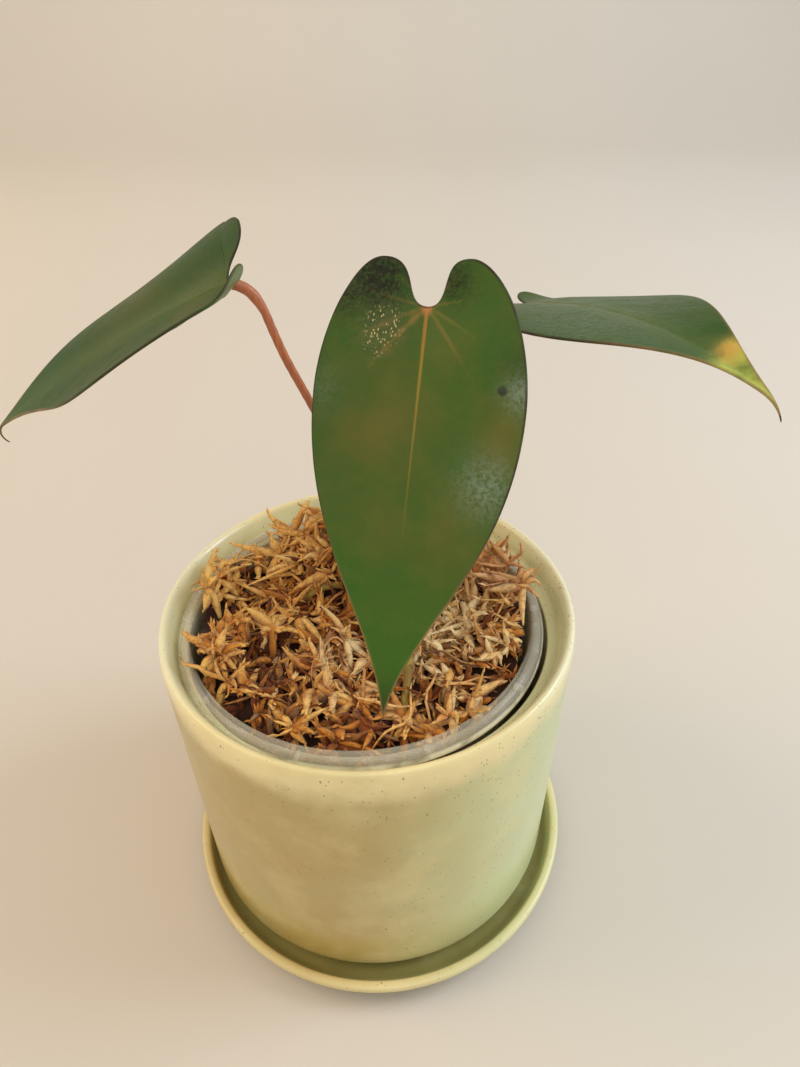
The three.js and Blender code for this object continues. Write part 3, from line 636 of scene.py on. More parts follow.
def blade(name, leaf, rows, thickness):
    """Both faces of a blade. The middle surface is offset along its normals by half the
    thickness times sqrt(1 - (1 - e/r)^2) near an edge e away, less a groove over each vein above
    and plus a ridge under it below."""
    length, columns = leaf["length"], BLADE_COLUMNS
    parts, masks_of = [], []
    vein_parts = np.linspace(0, 1, 60)
    for side in (-1, 1):
        grid, inner, margin = flat_half(leaf["tip"], rows, columns)
        flat = grid.reshape(-1, 2)
        notch = int(round(rows * NOTCH_ROW))
        free = spaced(np.vstack([inner[notch::-1], margin]), 0.002)
        edge = near(flat, free).reshape(rows, columns) * length
        edge[:, -1] = edge[: notch + 1, 0] = edge[0] = edge[-1] = 0
        edge = edge.reshape(-1)
        rib = np.where(flat[:, 1] > 0, flat[:, 0], np.linalg.norm(flat, axis=1)) * length
        basal, lateral = (np.min([near(flat, curve(v, vein_parts)) for v in veins], 0) * length
                          for veins in (BASAL_VEINS, LATERAL_VEINS))
        spots = {key: np.zeros(len(flat)) for key in SPOT_KINDS}
        for key, at, x, y, radius, strength in LEAF_SPOTS[name]:
            middle = np.array([x * side * at, y])
            far = np.linalg.norm(flat - middle, axis=1)
            spots[key] = np.maximum(spots[key], strength * np.exp(-(far / radius) ** 2))
        masks_of.append(dict(edge_mm=edge, rib_mm=rib, basal_mm=basal, lateral_mm=lateral,
                             along=flat[:, 1], veined=np.full(len(flat), leaf["vein"]),
                             **spots))
        faces = grid_faces(rows, columns, False)
        parts.append((bend_blade(leaf, flat, side), faces if side > 0 else faces[:, ::-1]))
    masks = {key: np.concatenate([m[key] for m in masks_of]) for key in masks_of[0]}
    points, faces, masks = weld(*joined(*parts), masks)
    normals = vertex_normals(points, faces)
    if (normals @ leaf_axes(leaf)[2]).mean() < 0:
        normals, faces = -normals, faces[:, ::-1]
    e = np.minimum(masks["edge_mm"] / (0.6 * thickness), 1)
    half = thickness / 2 * np.sqrt(1 - (1 - e) ** 2)
    inside = smooth(masks["edge_mm"], 0.3, 2.5)
    fade = 1 - 0.75 * smooth(masks["along"], 0.3, 0.95)
    in_rib, in_basal, in_lateral = (np.exp(-(masks[key] / reach) ** 2) * inside
                                    for key, reach in GROOVES.items())
    in_rib = in_rib * fade
    quilt = 0.08 * smooth(masks["lateral_mm"], 0, 6) * inside
    wart = 0.6 * masks["brown"] ** 3 * inside
    above = half * (1 - 0.35 * in_rib - 0.12 * in_basal - 0.06 * in_lateral) + quilt + wart
    below = half + 0.65 * in_rib + 0.2 * in_basal + 0.1 * in_lateral - quilt
    masks["underside"] = np.zeros(len(points))
    under = {key: value.copy() for key, value in masks.items()}
    under["underside"][:] = 1
    masks = {key: np.concatenate([masks[key], under[key]]) for key in masks}
    points, faces, masks = weld(*joined((points + normals * above[:, None], faces),
                                        (points - normals * below[:, None], faces[:, ::-1])),
                                masks)
    return points, outward(points, faces), masks


def petiole_line(leaf, count):
    """The CAD route from the stem's shoulder to the joint under the blade."""
    along, _, up = leaf_axes(leaf)
    forth, below = leaf["joint"]
    seat = np.array(leaf["sinus"]) + along * forth - up * below
    return spline([*leaf["petiole"], seat], count)


# Materials


def rgb(red, green, blue):
    """A colour from its 0 to 255 screen values, as the linear values that shaders read."""
    share = np.array([red, green, blue]) / 255
    line = np.where(share <= 0.04045, share / 12.92, ((share + 0.055) / 1.055) ** 2.4)
    return (*line.tolist(), 1.0)


class Shading:
    """Short calls that add nodes to a tree and give back their outputs. The ends are the inputs
    that the tree's results go to."""

    def __init__(self, tree, ends):
        self.tree = tree
        self.ends = ends

    def plug(self, value, socket):
        """Links another socket, or sets a plain value or a colour of three or four numbers."""
        if isinstance(value, bpy.types.NodeSocket):
            self.tree.links.new(value, socket)
        elif socket.type == "RGBA":
            socket.default_value = (*value[:3], 1)
        else:
            socket.default_value = value

    def node(self, kind, inputs=(), **settings):
        made = self.tree.nodes.new("ShaderNode" + kind)
        for key, value in settings.items():
            setattr(made, key, value)
        for key, value in dict(inputs).items():
            self.plug(value, made.inputs[key])
        return made.outputs

    def feed(self, **values):
        """Results to the ends, by name, with an underline for each space."""
        for key, value in values.items():
            self.plug(value, self.ends[key.replace("_", " ")])

    def mix(self, factor, a, b):
        return self.node("Mix", {0: factor, 6: a, 7: b}, data_type="RGBA")[2]

    def layers(self, body, *coats):
        """A body colour with other colours laid over it in turn, each through its own mask."""
        for mask, colour in coats:
            body = self.mix(mask, body, colour)
        return body

    def math(self, operation, a, b=0.0):
        return self.node("Math", {0: a, 1: b}, operation=operation)[0]

    def times(self, a, b):
        return self.math("MULTIPLY", a, b)

    def plus(self, a, b):
        return self.math("ADD", a, b)

    def span(self, value, low, high, start=0.0, end=1.0):
        """From start to end as the value goes from low to high, eased at both ends."""
        inputs = {"Value": value, "From Min": low, "From Max": high, "To Min": start, "To Max": end}
        return self.node("MapRange", inputs, interpolation_type="SMOOTHSTEP")["Result"]

    def noise(self, at, scale, detail=3.0, rough=0.55):
        inputs = {"Vector": at, "Scale": scale, "Detail": detail, "Roughness": rough}
        return self.node("TexNoise", inputs)["Fac"]

    def mask(self, name):
        return self.node("Attribute", attribute_name=name)["Fac"]

    def place(self, **turn):
        """The place on the object in metres, shifted, turned or stretched if asked."""
        at = self.node("TexCoord")["Object"]
        return self.node("Mapping", {"Vector": at, **turn})[0] if turn else at

    def height(self):
        return self.node("SeparateXYZ", {"Vector": self.place()})["Z"]

    def from_axis(self, x, y):
        """The distance in metres from the upright axis at x and y in millimetres."""
        level = self.place(Location=(-x * MM, -y * MM, 0), Scale=(1, 1, 0))
        return self.node("VectorMath", {0: level}, operation="LENGTH")["Value"]

    def group(self, name, *values):
        return self.node("Group", enumerate(values), node_tree=bpy.data.node_groups[name])[0]

    def patches(self, at, scale, low, high):
        return self.group("Patches", at, scale, low, high)

    def specks(self, at, scale, size, share):
        return self.group("Specks", at, scale, size, share)

    def grain(self, at, scale):
        return self.group("Grain", at, scale)

    def bump(self, height, strength, distance, **normal):
        inputs = {"Height": height, "Strength": strength, "Distance": distance, **normal}
        return self.node("Bump", inputs)["Normal"]


def new_group(name, inputs, output):
    """An empty node group: its Shading, and the sockets of its place and its named inputs."""
    tree = bpy.data.node_groups.new(name, "ShaderNodeTree")
    tree.interface.new_socket("Vector", in_out="INPUT", socket_type="NodeSocketVector")
    for key in inputs:
        tree.interface.new_socket(key, in_out="INPUT", socket_type="NodeSocketFloat")
    tree.interface.new_socket(output, in_out="OUTPUT", socket_type="NodeSocketFloat")
    given = tree.nodes.new("NodeGroupInput").outputs
    make = Shading(tree, tree.nodes.new("NodeGroupOutput").inputs)
    return (make, *(given[key] for key in ("Vector", *inputs)))


def build_groups():
    """The effects that several materials share: patches, specks and grain."""
    make, at, scale, low, high = new_group("Patches", ("Scale", "Low", "High"), "Mask")
    make.feed(Mask=make.span(make.noise(at, scale, 4.0, 0.6), low, high))

    make, at, scale, size, share = new_group("Specks", ("Scale", "Size", "Share"), "Mask")
    cells = make.node("TexVoronoi", {"Vector": at, "Scale": scale})
    pick = make.node("SeparateColor", {"Color": cells["Color"]})[0]
    make.feed(Mask=make.times(make.math("LESS_THAN", cells["Distance"], size),
                              make.math("LESS_THAN", pick, share)))

    make, at, scale = new_group("Grain", ("Scale",), "Height")
    cells = make.node("TexVoronoi", {"Vector": at, "Scale": scale}, feature="SMOOTH_F1")
    make.feed(Height=make.plus(make.times(cells["Distance"], 0.6), make.noise(at, scale, 2.0)))


def new_material(name, **shader):
    """A material with one Principled BSDF, whose plain values are set on its own sockets."""
    material = bpy.data.materials.new(name)
    material.use_nodes = True
    make = Shading(material.node_tree, material.node_tree.nodes["Principled BSDF"].inputs)
    make.feed(**shader)
    return material, make


def glaze_material(settings):
    """Celadon glaze: tan at the left and pale green at the right of the wall, painted light of the
    warm and cool lamps, with tan and pale green clouds; cream where it breaks over the rims, with a
    painted highlight on the crest and on the rim's left and right; painted light on the upper
    inner wall; darker green low on the saucer floor and at the foot, where the glaze lies thick
    and with painted shade; fine dark specks."""
    material, make = new_material("Celadon glaze", IOR=1.5, Coat_Roughness=0.16)
    at, tall = make.place(), make.place(Scale=(1, 1, 0.55))
    x, _, height = make.node("SeparateXYZ", {"Vector": at})
    radius = make.from_axis(0, 0)
    ragged = make.noise(at, 55.0)
    cloud = make.patches(at, 13.0, 0.3, 0.7)
    veil = make.patches(at, 42.0, 0.42, 0.72)
    # Tan at the left and pale green at the right of the wall: painted light of the warm lamp at the
    # left and the cool lamp at the right, with random green clouds.
    green = make.plus(make.times(cloud, 0.25), make.times(make.span(x, -0.012, 0.07), 0.85))
    # Cream over the rim's crest: the glaze breaking over the edge, and a painted highlight along
    # it.
    crest = make.span(make.plus(height, make.times(ragged, 0.012)), 0.1215, 0.1345)
    # A paler cream on the rim at the left and right is a painted highlight where the lamps catch
    # it; its coat is real gloss.
    sides = make.times(make.span(make.math("ABSOLUTE", x), 0.045, 0.072),
                       make.span(height, 0.126, 0.1315))
    lip = make.span(make.plus(height, make.times(ragged, 0.002)), 0.0095, 0.0125, 0.0, 0.6)
    saucer = make.times(make.math("LESS_THAN", height, 0.02),
                        make.math("GREATER_THAN", radius, 0.0745))
    cream = make.times(make.math("MAXIMUM", crest, make.times(lip, saucer)),
                       make.span(ragged, 0.25, 0.6, 0.7, 1.0))
    # The pale band on the upper inner wall is painted light, laid over the wall's shade.
    inside = make.times(make.span(radius, 0.0722, 0.0702), make.math("GREATER_THAN", height, 0.02))
    # Darker green low on the saucer floor and at the foot: thick glaze, and painted shade of the
    # pot on the saucer floor.
    pool_and_shade = make.times(make.span(height, 0.0098, 0.0068), make.span(ragged, 0.2, 0.6, 0.7, 1.0))
    crowd = make.times(make.span(height, 0.09, 0.124, 0.3, 1.0),
                       make.span(x, -0.05, 0.05, 0.05, 0.2))
    dark = make.math("MAXIMUM", make.specks(tall, 1050.0, 0.26, crowd),
                     make.specks(tall, 420.0, 0.16, 0.02))
    body = make.layers(
        settings.glaze_tan_side,
        (green, settings.glaze),
        (make.times(veil, 0.3), settings.glaze_cream),
        (cream, settings.glaze_cream),
        (sides, rgb(255, 248, 204)),
        (make.times(inside, 0.85), rgb(244, 240, 190)),
        (pool_and_shade, settings.glaze_pool_and_shade),
        (make.times(dark, 0.55), rgb(88, 84, 54)),
    )
    wave = make.bump(make.noise(at, 30.0, 2.0), 0.25, 0.0008)
    make.feed(Base_Color=body, Roughness=make.span(veil, 0, 1, 0.3, 0.42),
              Coat_Weight=make.span(sides, 0, 1, 0.3, 0.8),
              Normal=make.bump(make.grain(at, 260.0), 0.06, 0.0003, Normal=wave))
    return material


def plastic_material(settings):
    """Clear plastic, scuffed: hardly seen face on, milkier edge on and in the thick flange,
    with a painted highlight as a bright line round the flange's outer edge, and fine scratches in
    its gloss."""
    material, make = new_material("Clear plastic", IOR=1.49)
    at = make.place()
    scuff = make.patches(make.place(Scale=(1, 1, 6)), 120.0, 0.45, 0.7)
    flange = make.span(make.height(), 0.1215, 0.1265)
    facing = make.node("LayerWeight", {"Blend": 0.35})["Facing"]
    milky = make.plus(make.plus(make.times(flange, 0.16), make.times(scuff, 0.07)),
                      make.span(facing, 0.45, 1.0, settings.clarity, 0.45))
    # A bright, more opaque line round the flange's outer edge: a painted highlight.
    rim = make.times(make.span(make.from_axis(*LINER_AT), 0.06545, 0.0660),
                     make.span(make.noise(at, 70.0), 0.35, 0.6, 0.35, 0.9))
    body = make.layers(rgb(248, 238, 212), (scuff, rgb(252, 248, 236)), (rim, rgb(255, 252, 240)))
    make.feed(Base_Color=body, Roughness=make.span(scuff, 0, 1, 0.12, 0.36),
              Alpha=make.math("MAXIMUM", milky, rim),
              Normal=make.bump(make.noise(at, 200.0), 0.12, 0.0004))
    return material


def moss_material(name, settings, dark):
    """Dried sphagnum: golden tan above and orange-brown to near black low down, painted light and
    shade by height in the bed, bleached cream at places, with fine fibres."""
    material, make = new_material(name, Roughness=0.8, Sheen_Weight=0.12, Specular_IOR_Level=0.25)
    at, tone = make.place(), make.mask("tone")
    fibres = make.noise(at, 420.0, 4.0, 0.7)
    body = make.layers(
        settings.moss_painted_shade,
        (make.span(tone, 0.05, 0.5), settings.moss_middle),
        (make.span(tone, 0.45, 1.0), settings.moss),
        (make.times(make.patches(at, 38.0, 0.4, 0.62), 0.3), rgb(204, 112, 36)),
        (make.mask("bleach"), settings.moss_bleached),
        (make.times(make.mask("pink"), 0.6), rgb(206, 140, 98)),
        (make.span(fibres, 0.42, 0.72, 0.0, 0.6), rgb(112, 58, 20)),
    )
    # The bed is painted near black: painted shade in the gaps between the tufts.
    if dark:
        body = make.mix(0.85, body, rgb(22, 12, 6))
    make.feed(Base_Color=body, Normal=make.bump(make.grain(at, 800.0), 0.5, 0.0004))
    return material


def stem_material():
    """Stem and roots: green to tan, with yellow-green fresh roots and brown scars."""
    material, make = new_material("Stem and roots", Roughness=0.6)
    at = make.place()
    fresh = make.mix(make.patches(at, 70.0, 0.4, 0.65), rgb(172, 148, 62), rgb(136, 108, 44))
    body = make.layers(
        rgb(176, 160, 120),
        (make.span(make.height(), 0.116, 0.122), fresh),
        (make.times(make.specks(at, 260.0, 0.32, 0.12), 0.6), rgb(104, 68, 34)),
    )
    make.feed(Base_Color=body, Normal=make.bump(make.grain(at, 420.0), 0.4, 0.0005))
    return material


def petiole_material(settings):
    """Petiole: smooth reddish brown, greener at the foot, with faint long streaks."""
    material, make = new_material("Petiole", Roughness=0.42, Coat_Weight=0.1,
                                  Subsurface_Weight=0.05)
    at, tall, up = make.place(), make.place(Scale=(1, 1, 0.12)), make.mask("up")
    red = make.mix(make.span(make.noise(tall, 900.0), 0.35, 0.7), settings.petiole,
                   rgb(196, 112, 66))
    body = make.layers(
        rgb(132, 104, 48),
        (make.span(up, 0.0, 0.25), red),
        (make.times(make.specks(at, 1500.0, 0.3, 0.2), 0.25), rgb(92, 44, 26)),
        (make.times(make.span(up, 0.95, 0.99), 0.35), rgb(150, 96, 54)),
    )
    make.feed(Base_Color=body, Normal=make.bump(make.grain(tall, 900.0), 0.2, 0.0003))
    return material


def leaf_material(settings):
    """Blade: deep green, brighter low down, with a warm midrib, a dark thin margin that turns tan
    in the lower half as a painted highlight, a paler underside, painted shade over the side leaves,
    and the patches of the masks: yellow, olive, brown, dark and crinkled, glints painted as pale
    gold specks, and waxy gloss under a painted sheen. The masks that end in mm are distances to
    the margin and the veins."""
    material, make = new_material("Leaf blade", Specular_IOR_Level=0.25, Coat_Roughness=0.2)
    at = make.place()
    tilted = make.place(Rotation=(0, 0.5, 0), Scale=(1, 1, 0.5))
    along, edge, rib, basal = map(make.mask, ("along", "edge_mm", "rib_mm", "basal_mm"))
    yellow, olive, brown, dark, glint, waxy = map(make.mask, SPOT_KINDS)
    under, veined = make.mask("underside"), make.mask("veined")
    plain = make.math("SUBTRACT", 1.0, veined)
    broad = make.patches(at, 30.0, 0.34, 0.68)
    mottle = make.patches(at, 170.0, 0.42, 0.68)
    ragged, fine = make.noise(at, 240.0), make.noise(at, 800.0, 3.0, 0.7)
    ripe = make.mix(olive, rgb(190, 198, 88), rgb(214, 168, 74))
    near_basal = make.math("DIVIDE", basal, make.span(olive, 0.0, 1.0, 1.0, 2.2))
    strong = make.plus(make.span(rib, 16.0, 1.0, 0.0, 0.24), make.times(olive, 0.34))
    basal_vein = make.times(make.times(make.span(near_basal, 0.6, 0.1), strong), veined)
    near_rib = make.math("DIVIDE", rib, make.span(along, 0.35, 0.0, 0.5, 0.9))
    midrib = make.times(make.span(near_rib, 1.0, 0.25),
                        make.times(make.span(along, 0.6, 0.1, 0.0, 0.9), veined))
    warm = make.mix(make.span(along, 0.0, 0.14), rgb(178, 122, 54), rgb(158, 134, 50))
    knot = make.times(make.times(make.span(rib, 2.4, 0.5), make.span(along, 0.028, 0.0)), veined)
    border = make.times(make.span(edge, 0.8, 0.25),
                        make.span(make.noise(at, 90.0), 0.3, 0.7, 0.35, 1.0))
    # The margin turns tan in the lower half of the blade: a painted highlight of light along the
    # edge.
    margin = make.mix(make.times(make.span(along, 0.4, 0.75), 0.7), settings.margin,
                      rgb(176, 140, 92))
    # Pale gold specks in the glint spots: painted glints, which also raise the surface a little.
    glint_specks = make.times(make.specks(tilted, 1800.0, 0.4, 0.4), make.span(glint, 0.2, 0.75))
    body = make.layers(
        settings.blade,
        (make.times(broad, 0.7), settings.blade_olive),
        (make.times(make.span(along, 0.45, 0.9), 0.8), settings.blade_low),
        (make.times(make.span(along, 0.83, 0.98, 0.0, 0.75), veined), rgb(26, 50, 6)),
        # The side leaves, with little vein, are darkened as a whole: painted shade.
        (make.times(plain, 0.68), rgb(16, 62, 14)),
        (make.times(olive, make.plus(make.times(broad, 0.4), 0.45)), rgb(116, 106, 46)),
        (make.times(mottle, 0.1), rgb(120, 122, 44)),
        (make.times(dark, make.span(fine, 0.36, 0.6, 0.45, 1.0)), settings.blade_dark),
        (make.span(make.times(yellow, make.span(ragged, 0.2, 0.7, 0.6, 1.2)), 0.0, 0.8), ripe),
        # Grey-green over the waxy spots: a painted sheen, laid over their real gloss.
        (make.times(waxy, make.span(fine, 0.35, 0.62, 0.1, 0.75)), rgb(134, 150, 126)),
        (make.times(plain, make.span(rib, 8.0, 0.0, 0.0, 0.25)), rgb(112, 128, 72)),
        (basal_vein, rgb(156, 126, 60)),
        (midrib, warm),
        (knot, rgb(196, 128, 78)),
        (make.times(under, 0.55), rgb(122, 138, 78)),
        (border, margin),
        (make.span(brown, 0.3, 0.75), rgb(40, 50, 20)),
        (glint_specks, rgb(206, 184, 128)),
    )
    coat = make.plus(make.plus(make.times(glint, 0.5), make.times(waxy, 0.35)),
                     make.times(brown, 0.8))
    gloss = make.plus(make.times(glint, 0.22), make.times(waxy, 0.08))
    rough = make.plus(make.plus(make.times(glint, 2.6), make.times(dark, 2.4)),
                      make.times(waxy, 0.9))
    crinkle = make.times(make.noise(at, 420.0, 4.0, 0.65), make.plus(rough, 0.12))
    wave = make.bump(make.plus(crinkle, glint_specks), 0.6, 0.0012)
    make.feed(Base_Color=body, Coat_Weight=coat,
              Roughness=make.math("SUBTRACT", make.span(mottle, 0, 1, 0.4, 0.5), gloss),
              Normal=make.bump(make.grain(at, 620.0), 0.2, 0.0003, Normal=wave))
    return material


# Settings


def colour(name, description, *value):
    return bpy.props.FloatVectorProperty(name=name, description=description, subtype="COLOR",
                                         default=rgb(*value)[:3], min=0, max=1)


def whole(name, description, default, **limits):
    return bpy.props.IntProperty(name=name, description=description, default=default, **limits)


def amount(name, description, default, **limits):
    return bpy.props.FloatProperty(name=name, description=description, default=default,
                                   **limits)


class PotSettings(bpy.types.PropertyGroup):
    glaze: colour("Glaze", "Pale green of the celadon glaze", 212, 222, 170)
    # The tan shows mostly at the left of the wall, as painted light of the warm lamp there, and
    # between the clouds.
    glaze_tan_side: colour("Tan areas", "Colour where the glaze is thin over the clay", 184, 157, 84)
    glaze_cream: colour("Cream rims", "Colour where the glaze breaks over an edge", 246, 228, 168)
    # This green is also painted shade on the saucer floor.
    glaze_pool_and_shade: colour("Green pools", "Colour where the glaze lies thick", 140, 134, 78)
    clarity: amount("Inner pot haze", "How milky the clear inner pot is, face on",
                    0.06, min=0.02, max=0.7, subtype="FACTOR")
    segments: whole("Segments", "Steps round each turned pot", 192, min=48, max=512)


class MossSettings(bpy.types.PropertyGroup):
    # The upper, middle and deep colours follow height in the bed: painted light on top and painted
    # shade low down.
    moss: colour("Upper strands", "Colour of the strands on top", 255, 204, 114)
    moss_middle: colour("Middle strands", "Colour of most strands", 218, 142, 52)
    moss_painted_shade: colour("Deep strands", "Colour of the strands low in the bed", 104, 48, 14)
    moss_bleached: colour("Bleached strands", "Colour of the sun-bleached strands", 252, 222, 166)
    tufts: whole("Tufts", "Number of tufts on the bed", 400, min=50, max=560)
    width: amount("Branchlet width", "Widest part of a usual branchlet",
                  0.0036, min=0.0005, max=0.005, subtype="DISTANCE", unit="LENGTH")
    seed: whole("Seed", "Which random arrangement the tufts take", 11, min=0)


class PlantSettings(bpy.types.PropertyGroup):
    blade: colour("Blade", "Main green of the blades", 60, 98, 30)
    blade_olive: colour("Olive areas", "Yellower green of the blades", 88, 98, 34)
    blade_low: colour("Lower blade", "Brighter green towards the tips", 58, 104, 20)
    blade_dark: colour("Dark lobes", "Near black green of the crinkled lobes", 30, 38, 14)
    margin: colour("Margin", "Colour of the thin line round the blades", 52, 36, 24)
    petiole: colour("Petiole", "Reddish brown of the petioles", 168, 96, 62)
    thickness: amount("Blade thickness", "Thickness of a blade away from its edge",
                      0.0008, min=0.0004, max=0.002, subtype="DISTANCE", unit="LENGTH")
    rows: whole("Blade rows", "Rows of points from lobe to tip", 190, min=40, max=400)


class StageSettings(bpy.types.PropertyGroup):
    floor: colour("Floor", "Colour of the plain floor", 224, 214, 200)
    key_power: amount("Window light", "Power of the cool light at the right",
                      7.0, min=0, unit="POWER")
    fill_power: amount("Fill light", "Power of the warm light at the left",
                       5.5, min=0, unit="POWER")
    sky: amount("Sky", "Strength of the even light from all round", 0.7, min=0, max=3,
                subtype="FACTOR")


# Operators


class OBJECT_OT_saucer_and_cover_pot(bpy.types.Operator):
    """Adds the glazed cover pot and its saucer"""

    bl_idname = "anthurium.cover_pot"
    bl_label = "Saucer and cover pot"

    def execute(self, context):
        settings = context.scene.anthurium_pots
        glaze = glaze_material(settings)
        for node, profile, at, base in (("saucer", saucer_profile(), SAUCER_AT, 0),
                                        ("cover_pot", cover_pot_profile(), (0, 0), POT_BASE)):
            points, faces = turned(profile, settings.segments, at, base)
            add_piece(f"glazed_{node}", points, faces, glaze, "celadon_glaze", [node])
        return {"FINISHED"}


class OBJECT_OT_inner_pot(bpy.types.Operator):
    """Adds the clear inner pot, with its turned flange, ribs and drain holes"""

    bl_idname = "anthurium.inner_pot"
    bl_label = "Clear inner pot"

    def execute(self, context):
        settings = context.scene.anthurium_pots
        points, faces = turned(liner_profile(), settings.segments, LINER_AT, LINER_FLOOR)
        centres = np.stack(round_liner(DRAINS["ring"], turns(DRAINS["count"])), 1)
        pot = drilled(points, faces, centres, DRAINS["radius"], LINER_FLOOR - 2, LINER_FLOOR + 3)
        add_piece("clear_inner_pot", *joined(pot, flange_ribs()), plastic_material(settings),
                  "clear_plastic", ["inner_pot"])
        return {"FINISHED"}


class OBJECT_OT_moss(bpy.types.Operator):
    """Adds the sphagnum: a bed painted near black as shade, tufts of pointed branchlets, leaflets
    and long stems
    """

    bl_idname = "anthurium.moss"
    bl_label = "Sphagnum moss"

    def execute(self, context):
        """Radii along a strand, with s from 0 to 1: a branchlet's go by
        sin(pi (0.05 + 0.91 s^0.8))^0.85 and a long stem's by the root of a sine."""
        settings = context.scene.anthurium_moss
        rng = np.random.default_rng(settings.seed)
        points, faces = moss_bed()
        zero = np.zeros(len(points))
        bed = moss_material("Sphagnum bed in painted shade", settings, True)
        add_piece("moss_bed", points, faces, bed, "sphagnum", ["moss"],
                  dict(tone=zero, bleach=zero, pink=zero))
        material = moss_material("Sphagnum strands", settings, False)
        lines, layer = self.hubs_and_lines(rng, settings)
        half = settings.width / MM / 2 * rng.uniform(0.6, 1.15, len(lines))[:, None]
        s = np.linspace(0, 1, lines.shape[1])
        radii = half * (np.sin(np.pi * (0.05 + 0.91 * s ** 0.8)) ** 0.85)[None]
        self.add("moss_branchlets", rng, lines, radii, 4, 0.42, layer, material)
        twigs, owner = self.leaflets(rng, lines)
        radii = (half[owner] * 0.42) * np.array([[0.6, 1.0, 0.12]])
        self.add("moss_leaflets", rng, twigs, radii, 3, 0.6, layer[owner] + 0.1, material)
        stems, high = self.stems(rng)
        radii = rng.uniform(0.3, 0.55, len(stems))[:, None] * np.sin(
            np.pi * np.linspace(0.08, 0.94, stems.shape[1]))[None] ** 0.5
        self.add("moss_stems", rng, stems, radii, 5, 0.8, high, material)
        return {"FINISHED"}

    def hubs_and_lines(self, rng, settings):
        """Tufts over the bed, thinned out in the gaps, and the high clumps at the wall."""
        x, y = scatter(rng, settings.tufts, BED_RADIUS - 2)
        layer = rng.uniform(0, 1, len(x))
        keep = rng.uniform(0, 1, len(x)) > 0.95 * in_gaps(x, y)
        x, y, layer = x[keep], y[keep], layer[keep]
        lift = 5.2 * layer - 4.2 - 2.0 * in_gaps(x, y)
        size = rng.uniform(6.5, 10.5, len(x))
        cx, cy, high, long = np.array(CLUMPS, float).T
        x, y = np.concatenate([x, cx]), np.concatenate([y, cy])
        lift, size = np.concatenate([lift, high]), np.concatenate([size, long])
        layer = np.concatenate([layer, np.full(len(cx), 0.95)])
        hub = np.stack([x, y, moss_height(x, y) + lift], -1)
        lean = rng.normal(0, 0.35, (len(x), 3)) * (1, 1, 0)
        lines, owner = tufts(rng, hub, unit(moss_normal(x, y) + lean), size)
        keep = clear_of_stem(lines, STEM_GAP)
        return lines[keep], layer[owner[keep]]

    def leaflets(self, rng, lines):
        """Small pointed leaflets on the branchlets: each leaves forwards and aside, and bends
        towards the branchlet's own heading by s^2."""
        last = lines.shape[1] - 2
        count = len(lines) * PER_BRANCHLET
        owner = np.repeat(np.arange(len(lines)), PER_BRANCHLET)
        at = np.tile(np.linspace(1, last, PER_BRANCHLET), len(lines))
        at = at + rng.uniform(-0.6, 0.6, count)
        low = np.clip(at.astype(int), 0, last)
        part = (at - low)[:, None]
        root = lines[owner, low] * (1 - part) + lines[owner, low + 1] * part
        ahead = unit(lines[owner, low + 1] - lines[owner, low])
        aside = np.cross(ahead, [0, 0, 1.0]) * np.where(np.arange(count) % 2, 1, -1)[:, None]
        turn = rng.uniform(0.3, 0.9, count)[:, None]
        rise = rng.normal(0.1, 0.3, count)[:, None]
        heading = unit(ahead * np.cos(turn) + aside * np.sin(turn) + rise * (0, 0, 1.0))
        s = np.linspace(0, 1, 3)[None, :, None]
        long = rng.uniform(1.6, 3.4, count)[:, None, None]
        twigs = root[:, None] + long * (heading[:, None] * s + 0.3 * ahead[:, None] * s * s)
        return kept_in(twigs), owner

    def stems(self, rng):
        """Long bare stems lying over the tufts: along their heading by s, aside by bend s^2 plus
        wave sin 9s, and arched by 1 - 4 s^2, with s from -1/2 to 1/2."""
        count = LONG_STEMS
        x, y = scatter(rng, count, BED_RADIUS - 6)
        s = np.linspace(-0.5, 0.5, 10)[None]
        heading, phase = rng.uniform(0, FULL_TURN, (2, count, 1))
        long = rng.uniform(14, 30, count)[:, None]
        bend, wave = rng.normal(0, 0.6, (count, 1)), rng.normal(0, 0.06, (count, 1))
        along = s * long
        aside = (bend * s * s + wave * np.sin(9 * s + phase)) * long
        px = x[:, None] + along * np.cos(heading) - aside * np.sin(heading)
        py = y[:, None] + along * np.sin(heading) + aside * np.cos(heading)
        high = rng.uniform(0, 1, count)
        arch = rng.uniform(0, 0.12, (count, 1)) * long * (1 - 4 * s * s)
        rise = rng.normal(0, 0.15, (count, 1)) * along
        pz = moss_height(px, py) + 3.2 * high[:, None] - 0.5 + arch + rise
        lines = kept_in(np.stack([px, py, pz], -1))
        keep = clear_of_stem(lines, STEM_GAP + 0.2) & (rng.uniform(0, 1, count) > in_gaps(x, y))
        return lines[keep], high[keep]

    def add(self, name, rng, lines, radii, sides, flat, layer, material):
        """Tubes along the lines, with masks from each one's place: low ones are painted dark as
        shade and high ones pale as painted light, all are paler to their ends, those right of the
        front leaf are bleached, and the ones at the right wall are pinkish."""
        points, faces = tubes(lines, radii, sides, flat, rng.uniform(-1.0, 1.0, len(lines)))
        steps = lines.shape[1]
        each = steps * sides + 2
        middle = lines[:, steps // 2]
        x, y = middle[:, 0], middle[:, 1]
